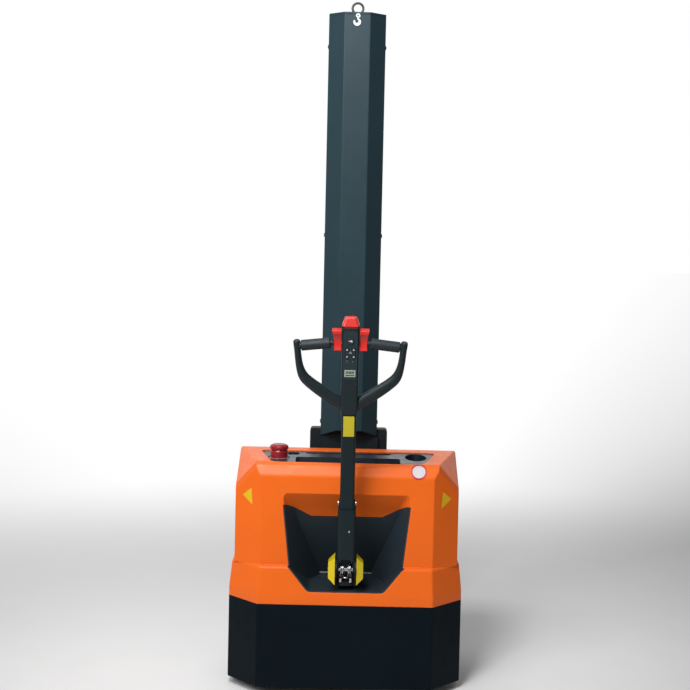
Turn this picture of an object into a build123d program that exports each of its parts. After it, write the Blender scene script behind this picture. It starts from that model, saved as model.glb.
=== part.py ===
from build123d import *
import math
import os

os.makedirs("parts", exist_ok=True)

# A pedestrian electric stacker with a single mast, in millimetres.
# X is to the operator's right, Y runs from the tiller to the fork tips, Z is up from the floor.
# The sizes below are counted from the front face of the skirt, Y 0.

# Clearances
RUN_GAP = 0.3  # between pieces that move past each other
SHAFT_GAP = 0.08  # radial, shaft in its bore
SEAT_GAP = 0.2  # a piece set into another
EASE = 3.0  # open space around a piece that is only passed by

# Body outline in plan
BODY_HALF = 400
FRONT_HALF = 296
BODY_REAR = 342

# Skirt
SKIRT_BOTTOM = 28
SKIRT_TOP = 310
SKIRT_WALL = 4
SKIRT_BEND = 10

# Hood: drops are counted from its top, insets from the body outline
HOOD_TOP = 784
HOOD_WALL = 4
LIP_TOP = 341
LEDGE_Z = 438
LEDGE_INSET = 10
HOOD_FRONT_INSET = 2
HOOD_FOOT_Y = 26
HOOD_SIDE_FRONT_INSET = 17.5
HOOD_SIDE_FRONT_Y = 92
HOOD_SIDE_REAR_INSET = 13
BROW_DROP = 43
BROW_Y = 28
TOP_FRONT_Y = 50
TOP_SPREAD = 14
TOP_REAR_Y = 360
SHOULDER_Y = 112
SHOULDER_DROP = 90
SHOULDER_ROUND = 40
BROW_ROUND = 24
HOOD_ROUND = 6
LIP_ROUND = 12

# Recess for the tiller foot, with its liner: drops from the brow, rises from the floor
LINER_WALL = 4
MOUTH_DROP = 59
CEILING_Y = 80
CEILING_DROP = 121
BACK_TOP_Y = 95
BACK_TOP_DROP = 149
BACK_FOOT_Y = 228
BACK_FOOT_RISE = 2
BACK_MID_RISE = 112
FLOOR_Z = 358
MOUTH_UPPER_HALF = 214
MOUTH_UPPER_DROP = 82
MOUTH_LOWER_HALF = 189
MOUTH_LOWER_RISE = 76
MOUTH_FOOT_HALF = 126
BACK_HALF = 126
RECESS_ROUND = 20
LINER_EDGE_HALF = 122
LINER_RISE_HALF = 210
LINER_RISE_DROP = 99

# Storage tray
TRAY_REAR_Y = 286
TRAY_REAR_HALF = 313
TRAY_FRONT_Y = 60
TRAY_FRONT_HALF = 258
TRAY_CORNER = 28
TRAY_DROP = 4
TRAY_WALL = 3
TROUGH_LEFT = -180
TROUGH_RIGHT = 180
TROUGH_FRONT = 74
TROUGH_REAR = 178
TROUGH_DEPTH = 45
SLOT_LEFT = -151
SLOT_RIGHT = 154
SLOT_FRONT = 244
SLOT_REAR = 272
SLOT_DEPTH = 40
NICHE_LEFT = -212
NICHE_RIGHT = -172
NICHE_FRONT = 214
NICHE_REAR = 268
NICHE_DEPTH = 20
CUP_X = 237
CUP_Y = 208
CUP_WIDE = 75
CUP_LONG = 138
CUP_DEPTH = 62
POCKET_ROUND = 13

# Emergency stop in its round well
STOP_X = -240
STOP_Y = 164
WELL_R = 38
WELL_DEPTH = 16
STOP_CUP_WALL = 3
STOP_CUP_FLOOR_WALL = 8
STOP_FOOT_R = 30
STOP_WAIST_R = 27.5
STOP_CAP_R = 32.3
STOP_SINK = 6
STOP_BODY_TALL = 32
STOP_NECK_TALL = 5
STOP_CAP_TALL = 15
STOP_TRAVEL = 10
STOP_SPARE = 2

# Chassis frame
DECK_BOTTOM = 185
DECK_WALL = 10
BULKHEAD_SET_IN = 2
BULKHEAD_WALL = 8
BULKHEAD_INSET = 12
BULKHEAD_FOOT = 60
BULKHEAD_DROP = 18

# Steering and drive
STEER_Y = 140
WHEEL_R = 105
WHEEL_WIDE = 70
TYRE_WALL = 28
TYRE_ROUND = 8
AXLE_R = 15
AXLE_REACH = 40
BEARING_R = 118
BEARING_WALL = 13
BEARING_TALL = 31
TURNTABLE_WALL = 13
GEARCASE_GAP = 5
GEARCASE_WIDE = 52
GEARCASE_R = 58
MOTOR_R = 75
MOTOR_TALL = 84
BRAKE_R = 56
BRAKE_TALL = 24

# Tiller foot
COLUMN_R = 30
CAP_R = 58
CAP_LIFT = 5
CAP_TALL = 10
PIVOT_Y = 10
PIVOT_Z = 433
PIN_R = 8
BED_TALL = 26
BED_ROUND = 30
EAR_WALL = 6
EAR_R = 38
GUARD_WALL = 3
GUARD_DEEP = 22.5
GUARD_FOOT_HALF_Y = 35
GUARD_FOOT_HALF_Z = 46
GUARD_FACE_HALF_Y = 24
GUARD_FACE_HALF_Z = 26

# Return spring of the tiller
SPRING_R = 17
SPRING_WIRE_R = 2.6
SPRING_TURNS = 2.25
SPRING_OUTER_X = 18.4
SPRING_INNER_X = 5.4
SPRING_BRIDGE_Y = 24
SPRING_ROOM_R = 44

# Tiller arm, along its own length from the pivot
LEAN = 14
LUG_WALL = 6
LUG_R = 16
SLEEVE_WIDE = 60
SLEEVE_DEEP = 46
SLEEVE_BOTTOM = 46
SLEEVE_TOP = 226
SLEEVE_ROUND = 12
TAB_WALL = 3
TAB_HALF = 10
TAB_TALL = 32
TUBE_WIDE = 48
TUBE_DEEP = 34
TUBE_WALL = 3
TUBE_ROUND = 9
TUBE_SET_IN = 142
TUBE_TOP = 616
BOLT_RISE = 19
BOLT_R = 6
BOLT_HEAD = 4

# Tiller head
HEAD_WIDE = 56
HEAD_DEEP = 44
HEAD_WALL = 3
HEAD_ROUND = 9
HEAD_BOTTOM = 608
HEAD_TOP = 862
NECK_BOTTOM = 566
NECK_WIDE = 54
NECK_DEEP = 40
PANEL_WIDE = 46
PANEL_BOTTOM = 690
PANEL_TOP = 854
PANEL_WALL = 3
DISPLAY_WIDE = 36
DISPLAY_BOTTOM = 698.5
DISPLAY_TOP = 722.5
DISPLAY_WALL = 1.6
HORN_S = 821
HORN_R = 12
ROCKER_X = 10.5
ROCKER_S = 780
ROCKER_WIDE = 12
ROCKER_TALL = 40
ROCKER_ROOM = 1
ROCKER_PIN_R = 1.8
ROCKER_PIN_HALF = 8.5
KEY_STAND = 2.6
KEY_TRAVEL = 1.6
KEY_FLANGE = 1.5

# Throttle, grips and handle loops
GRIP_S = 806
SHAFT_R = 6
PADDLE_GAP = 2
PADDLE_WIDE = 29.5
PADDLE_WAIST = 23
PADDLE_TOP = 853
PADDLE_BOTTOM = 783
PADDLE_DEEP = 24
GRIP_GAP = 4
GRIP_CORE_R = 12
GRIP_NECK = 1.5
GRIP_R = 17.5
GRIP_ROUND = 4
GRIP_DROOP = 6.5
LOOP_X = 172.5
LOOP_DEEP = 28
LOOP_ROUND = 4
SHAFT_SOCKET = 9

# Middle line and half width of the right loop, from its top to its root in the head
LOOP_LINE = (
    (LOOP_X, 813, 11),
    (170.5, 789, 11),
    (168, 765, 11),
    (165, 741, 11.5),
    (160, 717, 13),
    (151, 694, 16),
    (134.5, 674.5, 18),
    (115, 658.5, 19),
    (95, 644, 20),
    (75, 630, 20.5),
    (55, 616, 20.5),
    (35, 602, 20),
    (14, 587, 20),
)

# Belly button
BELLY_TRAVEL = 4.5
BELLY_SPARE = 1
BELLY_TALL = 28
BELLY_TOP_HALF = 19
BELLY_DEEP = 38
BELLY_STEM_HALF = 21
BELLY_STEM_TALL = 16
BELLY_ROUND = 7

# Mast: backs are counted from its front face
MAST_GAP = 10
MAST_HALF = 103
MAST_FACE_HALF = 46.5
MAST_BEND = 5
COVER_WALL = 2.5
COVER_DEEP = 110
COVER_CUT_FRONT_Z = 846
COVER_CUT_REAR_Z = 820
MAST_TOP = 2352
TOP_PLATE_WALL = 8
COLLAR_WALL = 6
COLLAR_RISE = 25
COLLAR_STEP = 5
RAIL_DEEP = 98
RAIL_WIDE = 44.7
RAIL_WEB = 10
RAIL_FLANGE = 10
SCREW_BACK = 90
SCREW_LOW_RISE = 24
SCREW_TOP_DROP = 115
SCREW_HEAD_R = 7
SCREW_HEAD = 3.5
SCREW_R = 4
EYE_RING_R = 19.5
EYE_WIRE_R = 4.2
EYE_RISE = 26
UPRIGHT_WIDE = 38
UPRIGHT_BACK = 70
UPRIGHT_DEEP = 50
UPRIGHT_TOP = 843
UPRIGHT_ROUND = 10
STAY_WALL = 30
STAY_TALL = 110
STAY_DROP = 20

# Legs
LEG_X = 200
LEG_WIDE = 100
LEG_BOTTOM = 24
LEG_TALL = 48
LEG_WALL = 8
LEG_LONG = 995
LOAD_WHEEL_R = 37
LOAD_WHEEL_WIDE = 70
LOAD_WHEEL_INSET = 80
LOAD_AXLE_R = 8
MAST_BASE_WALL = 20

# Lift cylinder and chain
LIFT_RANGE = 1812
CYLINDER_BACK = 93
BARREL_R = 28
BARREL_BORE_R = 22
BARREL_PLUG = 20
GLAND_TALL = 30
ROD_R = 16
PISTON_TALL = 40
ROD_GAP = 18
SHEAVE_RISE = 82
SHEAVE_HEADROOM = 138
SHEAVE_PITCH_R = 45
SHEAVE_FLANGE_R = 52
SHEAVE_WIDE = 20
SHEAVE_FLANGE = 3
SHEAVE_AXLE_R = 8
YOKE_HALF_X = 24
YOKE_HALF_Y = 24
YOKE_BASE = 20
YOKE_CHEEK = 8
CHAIN_WIDE = 12
CHAIN_DEEP = 10
ANCHOR_TALL = 30
ANCHOR_HALF = 14

# Fork carriage
CHEEK_X = 36
CHEEK_WALL = 12
CHEEK_BACK = 77
CARRIAGE_BOTTOM = 70
CARRIAGE_TOP = 490
CARRIAGE_GAP = 5
BACK_PLATE_WALL = 12
BACK_PLATE_HALF = 110
BAR_WALL = 16
UPPER_BAR_BOTTOM = 400
UPPER_BAR_TOP = 480
LOWER_BAR_BOTTOM = 100
LOWER_BAR_TOP = 160
ROLLER_GAP = 0.5
ROLLER_SIDE_GAP = 2
ROLLER_WIDE = 30
ROLLER_ROUND = 2
ROLLER_STUB_R = 10
LOWER_ROLLER_Z = 110
UPPER_ROLLER_Z = 440
CHAIN_LUG_Z = 290
CHAIN_LUG_TALL = 16

# Forks
FORK_WIDE = 170
FORK_TOP = 88
FORK_PLATE = 8
FORK_WALL = 8
FORK_SKIRT = 56
FORK_LONG = 1150
SHANK_WALL = 20
FORK_TIP_CUT = 45
FORK_TIP_RISE = 160

# Casters
CASTER_INSET = 120
CASTER_Y = 160
CASTER_R = 65
CASTER_WIDE = 46
CASTER_TRAIL = 30
CASTER_DISC_R = 36
CASTER_DISC = 16
CASTER_STEM_R = 12
CASTER_ARM = 5
CASTER_ARM_GAP = 3
CASTER_ARM_HALF = 22
CASTER_AXLE_R = 6

# Power pack under the hood
BATTERY_INSET = 25
BATTERY_WIDE = 160
BATTERY_FRONT = 142
BATTERY_TALL = 220
TERMINAL_R = 8
TERMINAL_TALL = 10
SHELF_WALL = 4
SHELF_GAP = 14
PACK_GAP = 8
BOX_INSET = 17
BOX_WIDE = 140
TANK_DEEP = 80
TANK_TALL = 170
FILLER_R = 14
FILLER_TALL = 10
PUMP_GAP = 20
PUMP_R = 42
PUMP_TALL = 150
CONTROLLER_TALL = 70
CONTROLLER_DEEP = 76

# Sizes worked out from the ones above
CORNER = BODY_HALF - FRONT_HALF
HOOD_FRONT_HALF = FRONT_HALF - HOOD_FRONT_INSET
HOOD_SIDE_FRONT_HALF = BODY_HALF - HOOD_SIDE_FRONT_INSET
HOOD_SIDE_REAR_HALF = BODY_HALF - HOOD_SIDE_REAR_INSET
TOP_FRONT_HALF = FRONT_HALF + TOP_SPREAD
BROW_Z = HOOD_TOP - BROW_DROP
SHOULDER_Z = HOOD_TOP - SHOULDER_DROP
MOUTH_TOP = BROW_Z - MOUTH_DROP
CEILING_Z = BROW_Z - CEILING_DROP
BACK_TOP_Z = BROW_Z - BACK_TOP_DROP
MOUTH_UPPER_Z = BROW_Z - MOUTH_UPPER_DROP
LINER_RISE_Z = BROW_Z - LINER_RISE_DROP
MOUTH_LOWER_Z = FLOOR_Z + MOUTH_LOWER_RISE
BACK_MID_Z = FLOOR_Z + BACK_MID_RISE
BACK_FOOT_Z = FLOOR_Z + BACK_FOOT_RISE
TRAY_TOP = HOOD_TOP - TRAY_DROP
STOP_CUP_INNER = STOP_FOOT_R + RUN_GAP
STOP_CUP_OUTER = STOP_CUP_INNER + STOP_CUP_WALL
STOP_FOOT_Z = TRAY_TOP - STOP_SINK
STOP_WAIST_Z = STOP_FOOT_Z + STOP_BODY_TALL
STOP_CAP_Z = STOP_WAIST_Z + STOP_NECK_TALL
STOP_TOP_Z = STOP_CAP_Z + STOP_CAP_TALL
STOP_CUP_FLOOR = STOP_FOOT_Z - STOP_TRAVEL - STOP_SPARE
STOP_CUP_BASE = STOP_CUP_FLOOR - STOP_CUP_FLOOR_WALL
DECK_TOP = DECK_BOTTOM + DECK_WALL
BULKHEAD_REAR = BODY_REAR - BULKHEAD_SET_IN
BULKHEAD_FRONT = BULKHEAD_REAR - BULKHEAD_WALL
BULKHEAD_HALF = HOOD_SIDE_REAR_HALF - BULKHEAD_INSET
BULKHEAD_TOP = HOOD_TOP - BULKHEAD_DROP
BEARING_TOP = DECK_TOP + BEARING_TALL
TURNTABLE_BOTTOM = BEARING_TOP - TURNTABLE_WALL
MOTOR_TOP = BEARING_TOP + MOTOR_TALL
BRAKE_TOP = MOTOR_TOP + BRAKE_TALL
CAP_BOTTOM = BACK_FOOT_Z + CAP_LIFT
CAP_TOP = CAP_BOTTOM + CAP_TALL
LUG_OUTER = SLEEVE_WIDE / 2
EAR_INNER = LUG_OUTER + RUN_GAP
EAR_OUTER = EAR_INNER + EAR_WALL
TAB_INNER = TUBE_WIDE / 2 + SEAT_GAP
TAB_OUTER = TAB_INNER + TAB_WALL
TUBE_BOTTOM = SLEEVE_TOP - TUBE_SET_IN
BOLT_S = SLEEVE_TOP + BOLT_RISE
PADDLE_INNER = HEAD_WIDE / 2 + PADDLE_GAP
PADDLE_OUTER = PADDLE_INNER + PADDLE_WIDE
GRIP_INNER = PADDLE_OUTER + GRIP_GAP
PANEL_FACE = -HEAD_DEEP / 2
BELLY_BOTTOM = HEAD_TOP + BELLY_TRAVEL + BELLY_SPARE
MAST_FRONT = BODY_REAR + MAST_GAP
MAST_CHAMFER = MAST_HALF - MAST_FACE_HALF
MAST_SHOULDER = MAST_FRONT + MAST_CHAMFER
COVER_REAR = MAST_FRONT + COVER_DEEP
COLLAR_FRONT = MAST_SHOULDER - SEAT_GAP
COLLAR_TOP = COVER_CUT_REAR_Z + COLLAR_RISE
RAIL_FRONT = COLLAR_FRONT + COLLAR_WALL
RAIL_REAR = RAIL_FRONT + RAIL_DEEP
RAIL_OUTER = MAST_HALF - COVER_WALL - SEAT_GAP
RAIL_INNER = RAIL_OUTER - RAIL_WIDE
RAIL_TOP = MAST_TOP - TOP_PLATE_WALL
SCREW_Y = MAST_FRONT + SCREW_BACK
SCREW_LOW_Z = UPRIGHT_TOP + SCREW_LOW_RISE
SCREW_TOP_Z = MAST_TOP - SCREW_TOP_DROP
SCREW_ZS = (SCREW_LOW_Z, (SCREW_LOW_Z + SCREW_TOP_Z) / 2, SCREW_TOP_Z)
EYE_Z = MAST_TOP + EYE_RISE
UPRIGHT_FRONT = MAST_FRONT + UPRIGHT_BACK
STAY_TOP = BULKHEAD_TOP - STAY_DROP
LEG_TOP = LEG_BOTTOM + LEG_TALL
LEG_INNER = LEG_X - LEG_WIDE / 2
LEG_TIP = BODY_REAR + LEG_LONG
LOAD_WHEEL_Y = LEG_TIP - LOAD_WHEEL_INSET
BASE_TOP = LEG_BOTTOM + MAST_BASE_WALL
CYLINDER_Y = MAST_FRONT + CYLINDER_BACK
SHEAVE_Z = RAIL_TOP - LIFT_RANGE / 2 - SHEAVE_HEADROOM
ROD_TOP = SHEAVE_Z - SHEAVE_RISE
BARREL_TOP = ROD_TOP - ROD_GAP
ANCHOR_Z = COLLAR_TOP + EASE + ANCHOR_TALL
YOKE_TOP = SHEAVE_Z + SHEAVE_AXLE_R + YOKE_CHEEK
CHAIN_FRONT_Y = CYLINDER_Y - SHEAVE_PITCH_R
CHAIN_REAR_Y = CYLINDER_Y + SHEAVE_PITCH_R
ROLLER_Y = (RAIL_FRONT + RAIL_REAR) / 2
ROLLER_R = RAIL_DEEP / 2 - RAIL_FLANGE - ROLLER_GAP
ROLLER_INNER = RAIL_INNER + ROLLER_SIDE_GAP
CHEEK_OUTER = CHEEK_X + CHEEK_WALL
CHEEK_FRONT = MAST_FRONT + CHEEK_BACK
BACK_PLATE_FRONT = RAIL_REAR + CARRIAGE_GAP
BAR_FRONT = BACK_PLATE_FRONT + BACK_PLATE_WALL
SHANK_FRONT = BAR_FRONT + BAR_WALL
FORK_FACE = SHANK_FRONT + SHANK_WALL
FORK_TIP = FORK_FACE + FORK_LONG
CASTER_X = BODY_HALF - CASTER_INSET
BATTERY_OUTER = BODY_HALF - BATTERY_INSET
BATTERY_INNER = BATTERY_OUTER - BATTERY_WIDE
PACK_REAR = BULKHEAD_FRONT - PACK_GAP
BATTERY_TOP = DECK_TOP + BATTERY_TALL
SHELF_BOTTOM = BATTERY_TOP + SHELF_GAP
SHELF_TOP = SHELF_BOTTOM + SHELF_WALL
BOX_OUTER = HOOD_SIDE_REAR_HALF - BOX_INSET
BOX_INNER = BOX_OUTER - BOX_WIDE
TANK_FRONT = PACK_REAR - TANK_DEEP
CONTROLLER_FRONT = PACK_REAR - CONTROLLER_DEEP
PUMP_X = (BOX_INNER + BOX_OUTER) / 2
PUMP_Y = TANK_FRONT - PUMP_GAP - PUMP_R
SIDES = (-1, 1)
TILLER = Pos(0, PIVOT_Y, PIVOT_Z) * Rot(LEAN, 0, 0)


# Small helpers


def block(x0, x1, y0, y1, z0, z1):
    """Box between two opposite corners."""
    middle = Pos((x0 + x1) / 2, (y0 + y1) / 2, (z0 + z1) / 2)
    return middle * Box(x1 - x0, y1 - y0, z1 - z0)


def post(x, y, radius, z0, z1):
    """Round bar along Z."""
    return Pos(x, y, (z0 + z1) / 2) * Cylinder(radius, z1 - z0)


def spindle(x0, x1, y, z, radius):
    """Round bar along X."""
    return Pos((x0 + x1) / 2, y, z) * Rot(0, 90, 0) * Cylinder(radius, x1 - x0)


def plug(x, y0, y1, z, radius):
    """Round bar along Y."""
    return Pos(x, (y0 + y1) / 2, z) * Rot(90, 0, 0) * Cylinder(radius, y1 - y0)


def mirrored(shape):
    """The same shape on the other side of the centre plane."""
    return mirror(shape, about=Plane.YZ)


def both(shape):
    """A shape and its mirror image, as separate solids."""
    return Compound(children=[*shape.solids(), *mirrored(shape).solids()])


def side_of(shape, side):
    """A shape drawn for the right side, on the side asked for."""
    return shape if side > 0 else mirrored(shape)


def round_box(wide, deep, z0, z1, radius):
    """Upright bar of rounded rectangular section."""
    return Pos(0, 0, z0) * extrude(RectangleRounded(wide, deep, radius), z1 - z0)


def trimmed(solid, points, inside, grow=0):
    """What lies on the inside point's side of a plane through three points, moved outward by grow."""
    a, b, c = (Vector(*p) for p in points)
    out = (b - a).cross(c - a).normalized()
    if out.dot(Vector(*inside) - a) > 0:
        out = out * -1
    return split(solid, bisect_by=Plane(a + out * grow, z_dir=out), keep=Keep.BOTTOM)


def trimmed_pair(solid, points, inside, grow=0):
    """Trim by a plane given on the right side and by its mirror image."""
    left = [(-x, y, z) for x, y, z in points]
    return trimmed(trimmed(solid, points, inside, grow), left, inside, grow)


# Skirt and hood


def body_face(inset, rear, bend):
    """Body outline in plan, moved in by the inset, with its four front corners rounded."""
    half = BODY_HALF - inset
    shift = inset * math.tan(math.pi / 8)
    right = [(FRONT_HALF - shift, inset), (half, CORNER + shift), (half, rear)]
    left = [(-x, y) for x, y in reversed(right)]
    face = make_face(Polyline(*right, *left, close=True))
    if bend > 0:
        face = fillet(face.vertices().filter_by(lambda v: v.Y < rear - 1), bend)
    return face


def front_skirt():
    outer = extrude(body_face(0, BODY_REAR, SKIRT_BEND), SKIRT_TOP - SKIRT_BOTTOM)
    inner_face = body_face(SKIRT_WALL, BODY_REAR + SKIRT_WALL, SKIRT_BEND - SKIRT_WALL)
    inner = extrude(inner_face, SKIRT_TOP - SKIRT_BOTTOM)
    return Pos(0, 0, SKIRT_BOTTOM) * (outer - inner)


def hood_foot(inset, rear, rounded):
    """The lip and the flared band above it, moved in by the inset."""
    lip = Pos(0, 0, SKIRT_TOP) * extrude(body_face(inset, rear, 0), LEDGE_Z - inset - SKIRT_TOP)
    inside = (0, BODY_REAR / 2, LIP_TOP)
    grow = -inset
    front = [(0, 0, LIP_TOP), (1, 0, LIP_TOP), (0, LEDGE_INSET, LEDGE_Z)]
    side = [(BODY_HALF, 0, LIP_TOP), (BODY_HALF, 1, LIP_TOP), (BODY_HALF - LEDGE_INSET, 0, LEDGE_Z)]
    reach = LEDGE_INSET / math.sqrt(2)
    corner = [
        (FRONT_HALF, 0, LIP_TOP),
        (BODY_HALF, CORNER, LIP_TOP),
        (FRONT_HALF - reach, reach, LEDGE_Z),
    ]
    foot = trimmed(lip, front, inside, grow)
    foot = trimmed_pair(foot, side, inside, grow)
    foot = trimmed_pair(foot, corner, inside, grow)
    if rounded:
        low = SKIRT_TOP + 1
        edges = foot.edges().filter_by(lambda e: low < e.center().Z and e.center().Y < rear - 1)
        foot = fillet(edges, LIP_ROUND)
    return foot


def hood_top(inset, rear, rounded):
    """The upper hood: front, corners, shoulders, brow and flat top, moved in by the inset."""
    grow = -inset
    inside = (0, BODY_REAR / 2, LEDGE_Z + 1)
    top = block(-BODY_HALF, BODY_HALF, 0, rear, LEDGE_Z - 2 * HOOD_WALL, HOOD_TOP - inset)
    brow = (0, BROW_Y, BROW_Z)
    top = trimmed(top, [(0, HOOD_FOOT_Y, LEDGE_Z), (1, HOOD_FOOT_Y, LEDGE_Z), brow], inside, grow)
    top = trimmed(top, [brow, (1, BROW_Y, BROW_Z), (0, TOP_FRONT_Y, HOOD_TOP)], inside, grow)
    side_front = (HOOD_SIDE_FRONT_HALF, HOOD_SIDE_FRONT_Y, LEDGE_Z)
    side_rear = (HOOD_SIDE_REAR_HALF, BODY_REAR, LEDGE_Z)
    side_high = (HOOD_SIDE_REAR_HALF, BODY_REAR, HOOD_TOP)
    corner = [(HOOD_FRONT_HALF, HOOD_FOOT_Y, LEDGE_Z), side_front, (HOOD_FRONT_HALF, BROW_Y, BROW_Z)]
    shoulder = [
        (TOP_FRONT_HALF, TOP_FRONT_Y, HOOD_TOP),
        (HOOD_SIDE_REAR_HALF, TOP_REAR_Y, HOOD_TOP),
        (HOOD_SIDE_REAR_HALF, SHOULDER_Y, SHOULDER_Z),
    ]
    top = trimmed_pair(top, [side_front, side_rear, side_high], inside, grow)
    top = trimmed_pair(top, corner, inside, grow)
    top = trimmed_pair(top, shoulder, inside, grow)
    if rounded:
        middle_z = (SHOULDER_Z + HOOD_TOP) / 2
        middle_x = (TOP_FRONT_HALF + HOOD_SIDE_REAR_HALF) / 2
        middle_y = (TOP_FRONT_Y + SHOULDER_Y) / 2
        creases = [top.edges().sort_by_distance((s * middle_x, middle_y, middle_z))[0] for s in SIDES]
        top = fillet(creases, SHOULDER_ROUND)
        brow_line = [brow, (0, TOP_FRONT_Y, HOOD_TOP)]
        top = fillet([top.edges().sort_by_distance(point)[0] for point in brow_line], BROW_ROUND)
        low = LEDGE_Z - HOOD_WALL
        edges = top.edges().filter_by(lambda e: e.center().Z > low and e.center().Y < rear - 1)
        top = fillet(edges, HOOD_ROUND)
    return top


def recess(grow):
    """The recess around the tiller foot, grown outward."""
    inside = (0, BACK_TOP_Y / 2, BACK_MID_Z)
    front = -BODY_HALF / 2
    room = block(-BODY_HALF, BODY_HALF, front, BODY_REAR, SKIRT_TOP, HOOD_TOP)
    ceiling = (0, CEILING_Y, CEILING_Z)
    back_top = (0, BACK_TOP_Y, BACK_TOP_Z)
    back_foot = (0, BACK_FOOT_Y, BACK_FOOT_Z)
    profile = [(0, BROW_Y, MOUTH_TOP), ceiling, back_top, back_foot, (0, HOOD_FOOT_Y, FLOOR_Z)]
    for a, b in zip(profile, profile[1:]):
        room = trimmed(room, [a, b, (1, a[1], a[2])], inside, grow)
    back_mid_y = BACK_TOP_Y + (BACK_FOOT_Y - BACK_TOP_Y) * (BACK_TOP_Z - BACK_MID_Z) / (
        BACK_TOP_Z - BACK_FOOT_Z
    )
    upper = (MOUTH_UPPER_HALF, BROW_Y, MOUTH_UPPER_Z)
    lower = (MOUTH_LOWER_HALF, HOOD_FOOT_Y, MOUTH_LOWER_Z)
    room = trimmed_pair(room, [upper, lower, (BACK_HALF, back_mid_y, BACK_MID_Z)], inside, grow)
    foot = (MOUTH_FOOT_HALF, HOOD_FOOT_Y, FLOOR_Z)
    room = trimmed_pair(room, [lower, foot, (BACK_HALF, BACK_FOOT_Y, BACK_FOOT_Z)], inside, grow)

    def outside(vertex):
        return vertex.Y < front + 1 or vertex.Z > HOOD_TOP - 1

    leaving = room.edges().filter_by(lambda e: sorted(map(outside, e.vertices())) == [False, True])
    return fillet(leaving, RECESS_ROUND + grow)


def liner_zone():
    """Everything below the line where the liner meets the painted recess."""
    floor = SKIRT_BOTTOM
    points = [
        (-BODY_HALF, floor),
        (BODY_HALF, floor),
        (BODY_HALF, LINER_RISE_Z),
        (LINER_RISE_HALF, LINER_RISE_Z),
        (LINER_EDGE_HALF, BACK_TOP_Z),
        (-LINER_EDGE_HALF, BACK_TOP_Z),
        (-LINER_RISE_HALF, LINER_RISE_Z),
        (-BODY_HALF, LINER_RISE_Z),
    ]
    face = Plane.XZ * make_face(Polyline(*points, close=True))
    return extrude(face, BODY_HALF, both=True)


def tray_face(gap):
    """Outline of the storage tray in plan, moved in by the gap."""
    rear, front = TRAY_REAR_Y - gap, TRAY_FRONT_Y + gap
    right = [(TRAY_FRONT_HALF - gap, front), (TRAY_REAR_HALF - gap, rear)]
    left = [(-x, y) for x, y in reversed(right)]
    face = make_face(Polyline(*right, *left, close=True))
    return fillet(face.vertices(), TRAY_CORNER - gap)


def hood():
    skin = hood_foot(0, BODY_REAR, True) + hood_top(0, BODY_REAR, True)
    beyond = BODY_REAR + 2 * HOOD_WALL
    hollow = hood_foot(HOOD_WALL, beyond, False) + hood_top(HOOD_WALL, beyond, False)
    shell = skin - hollow - recess(LINER_WALL)
    scoop = (recess(LINER_WALL) & skin) - liner_zone()
    shell = shell + scoop - recess(0)
    opening = Pos(0, 0, HOOD_TOP - 2 * HOOD_WALL) * extrude(tray_face(0), 3 * HOOD_WALL)
    return shell - opening


def recess_liner():
    skin = hood_foot(0, BODY_REAR, False) + hood_top(0, BODY_REAR, False)
    scoop = ((recess(LINER_WALL) - recess(0)) & skin) & liner_zone()
    hole = post(0, STEER_Y, COLUMN_R + EASE, FLOOR_Z - BRAKE_TALL, CAP_BOTTOM)
    return scoop - hole


# Storage tray and emergency stop


def pocket(x0, x1, y0, y1, depth, grow):
    """Rounded pocket in the tray, grown by a wall on its sides and floor."""
    face = RectangleRounded(x1 - x0 + 2 * grow, y1 - y0 + 2 * grow, POCKET_ROUND + grow)
    floor = TRAY_TOP - depth - grow
    return Pos((x0 + x1) / 2, (y0 + y1) / 2, floor) * extrude(face, TRAY_TOP - floor)


def tray_pockets(grow):
    cup_face = Ellipse(CUP_WIDE / 2 + grow, CUP_LONG / 2 + grow)
    cup_floor = TRAY_TOP - CUP_DEPTH - grow
    return [
        pocket(TROUGH_LEFT, TROUGH_RIGHT, TROUGH_FRONT, TROUGH_REAR, TROUGH_DEPTH, grow),
        pocket(SLOT_LEFT, SLOT_RIGHT, SLOT_FRONT, SLOT_REAR, SLOT_DEPTH, grow),
        pocket(NICHE_LEFT, NICHE_RIGHT, NICHE_FRONT, NICHE_REAR, NICHE_DEPTH, grow),
        Pos(CUP_X, CUP_Y, cup_floor) * extrude(cup_face, TRAY_TOP - cup_floor),
        post(STOP_X, STOP_Y, WELL_R + grow, TRAY_TOP - WELL_DEPTH - grow, TRAY_TOP),
    ]


def storage_tray():
    tray = Pos(0, 0, TRAY_TOP - TRAY_WALL) * extrude(tray_face(SEAT_GAP), TRAY_WALL)
    for body in tray_pockets(TRAY_WALL):
        tray += body
    for hollow in tray_pockets(0):
        tray -= hollow
    stop_hole = STOP_CUP_OUTER + SEAT_GAP
    return tray - post(STOP_X, STOP_Y, stop_hole, STOP_CUP_BASE, TRAY_TOP)


def e_stop_base():
    cup = post(STOP_X, STOP_Y, STOP_CUP_OUTER, STOP_CUP_BASE, TRAY_TOP)
    return cup - post(STOP_X, STOP_Y, STOP_CUP_INNER, STOP_CUP_FLOOR, TRAY_TOP)


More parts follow.
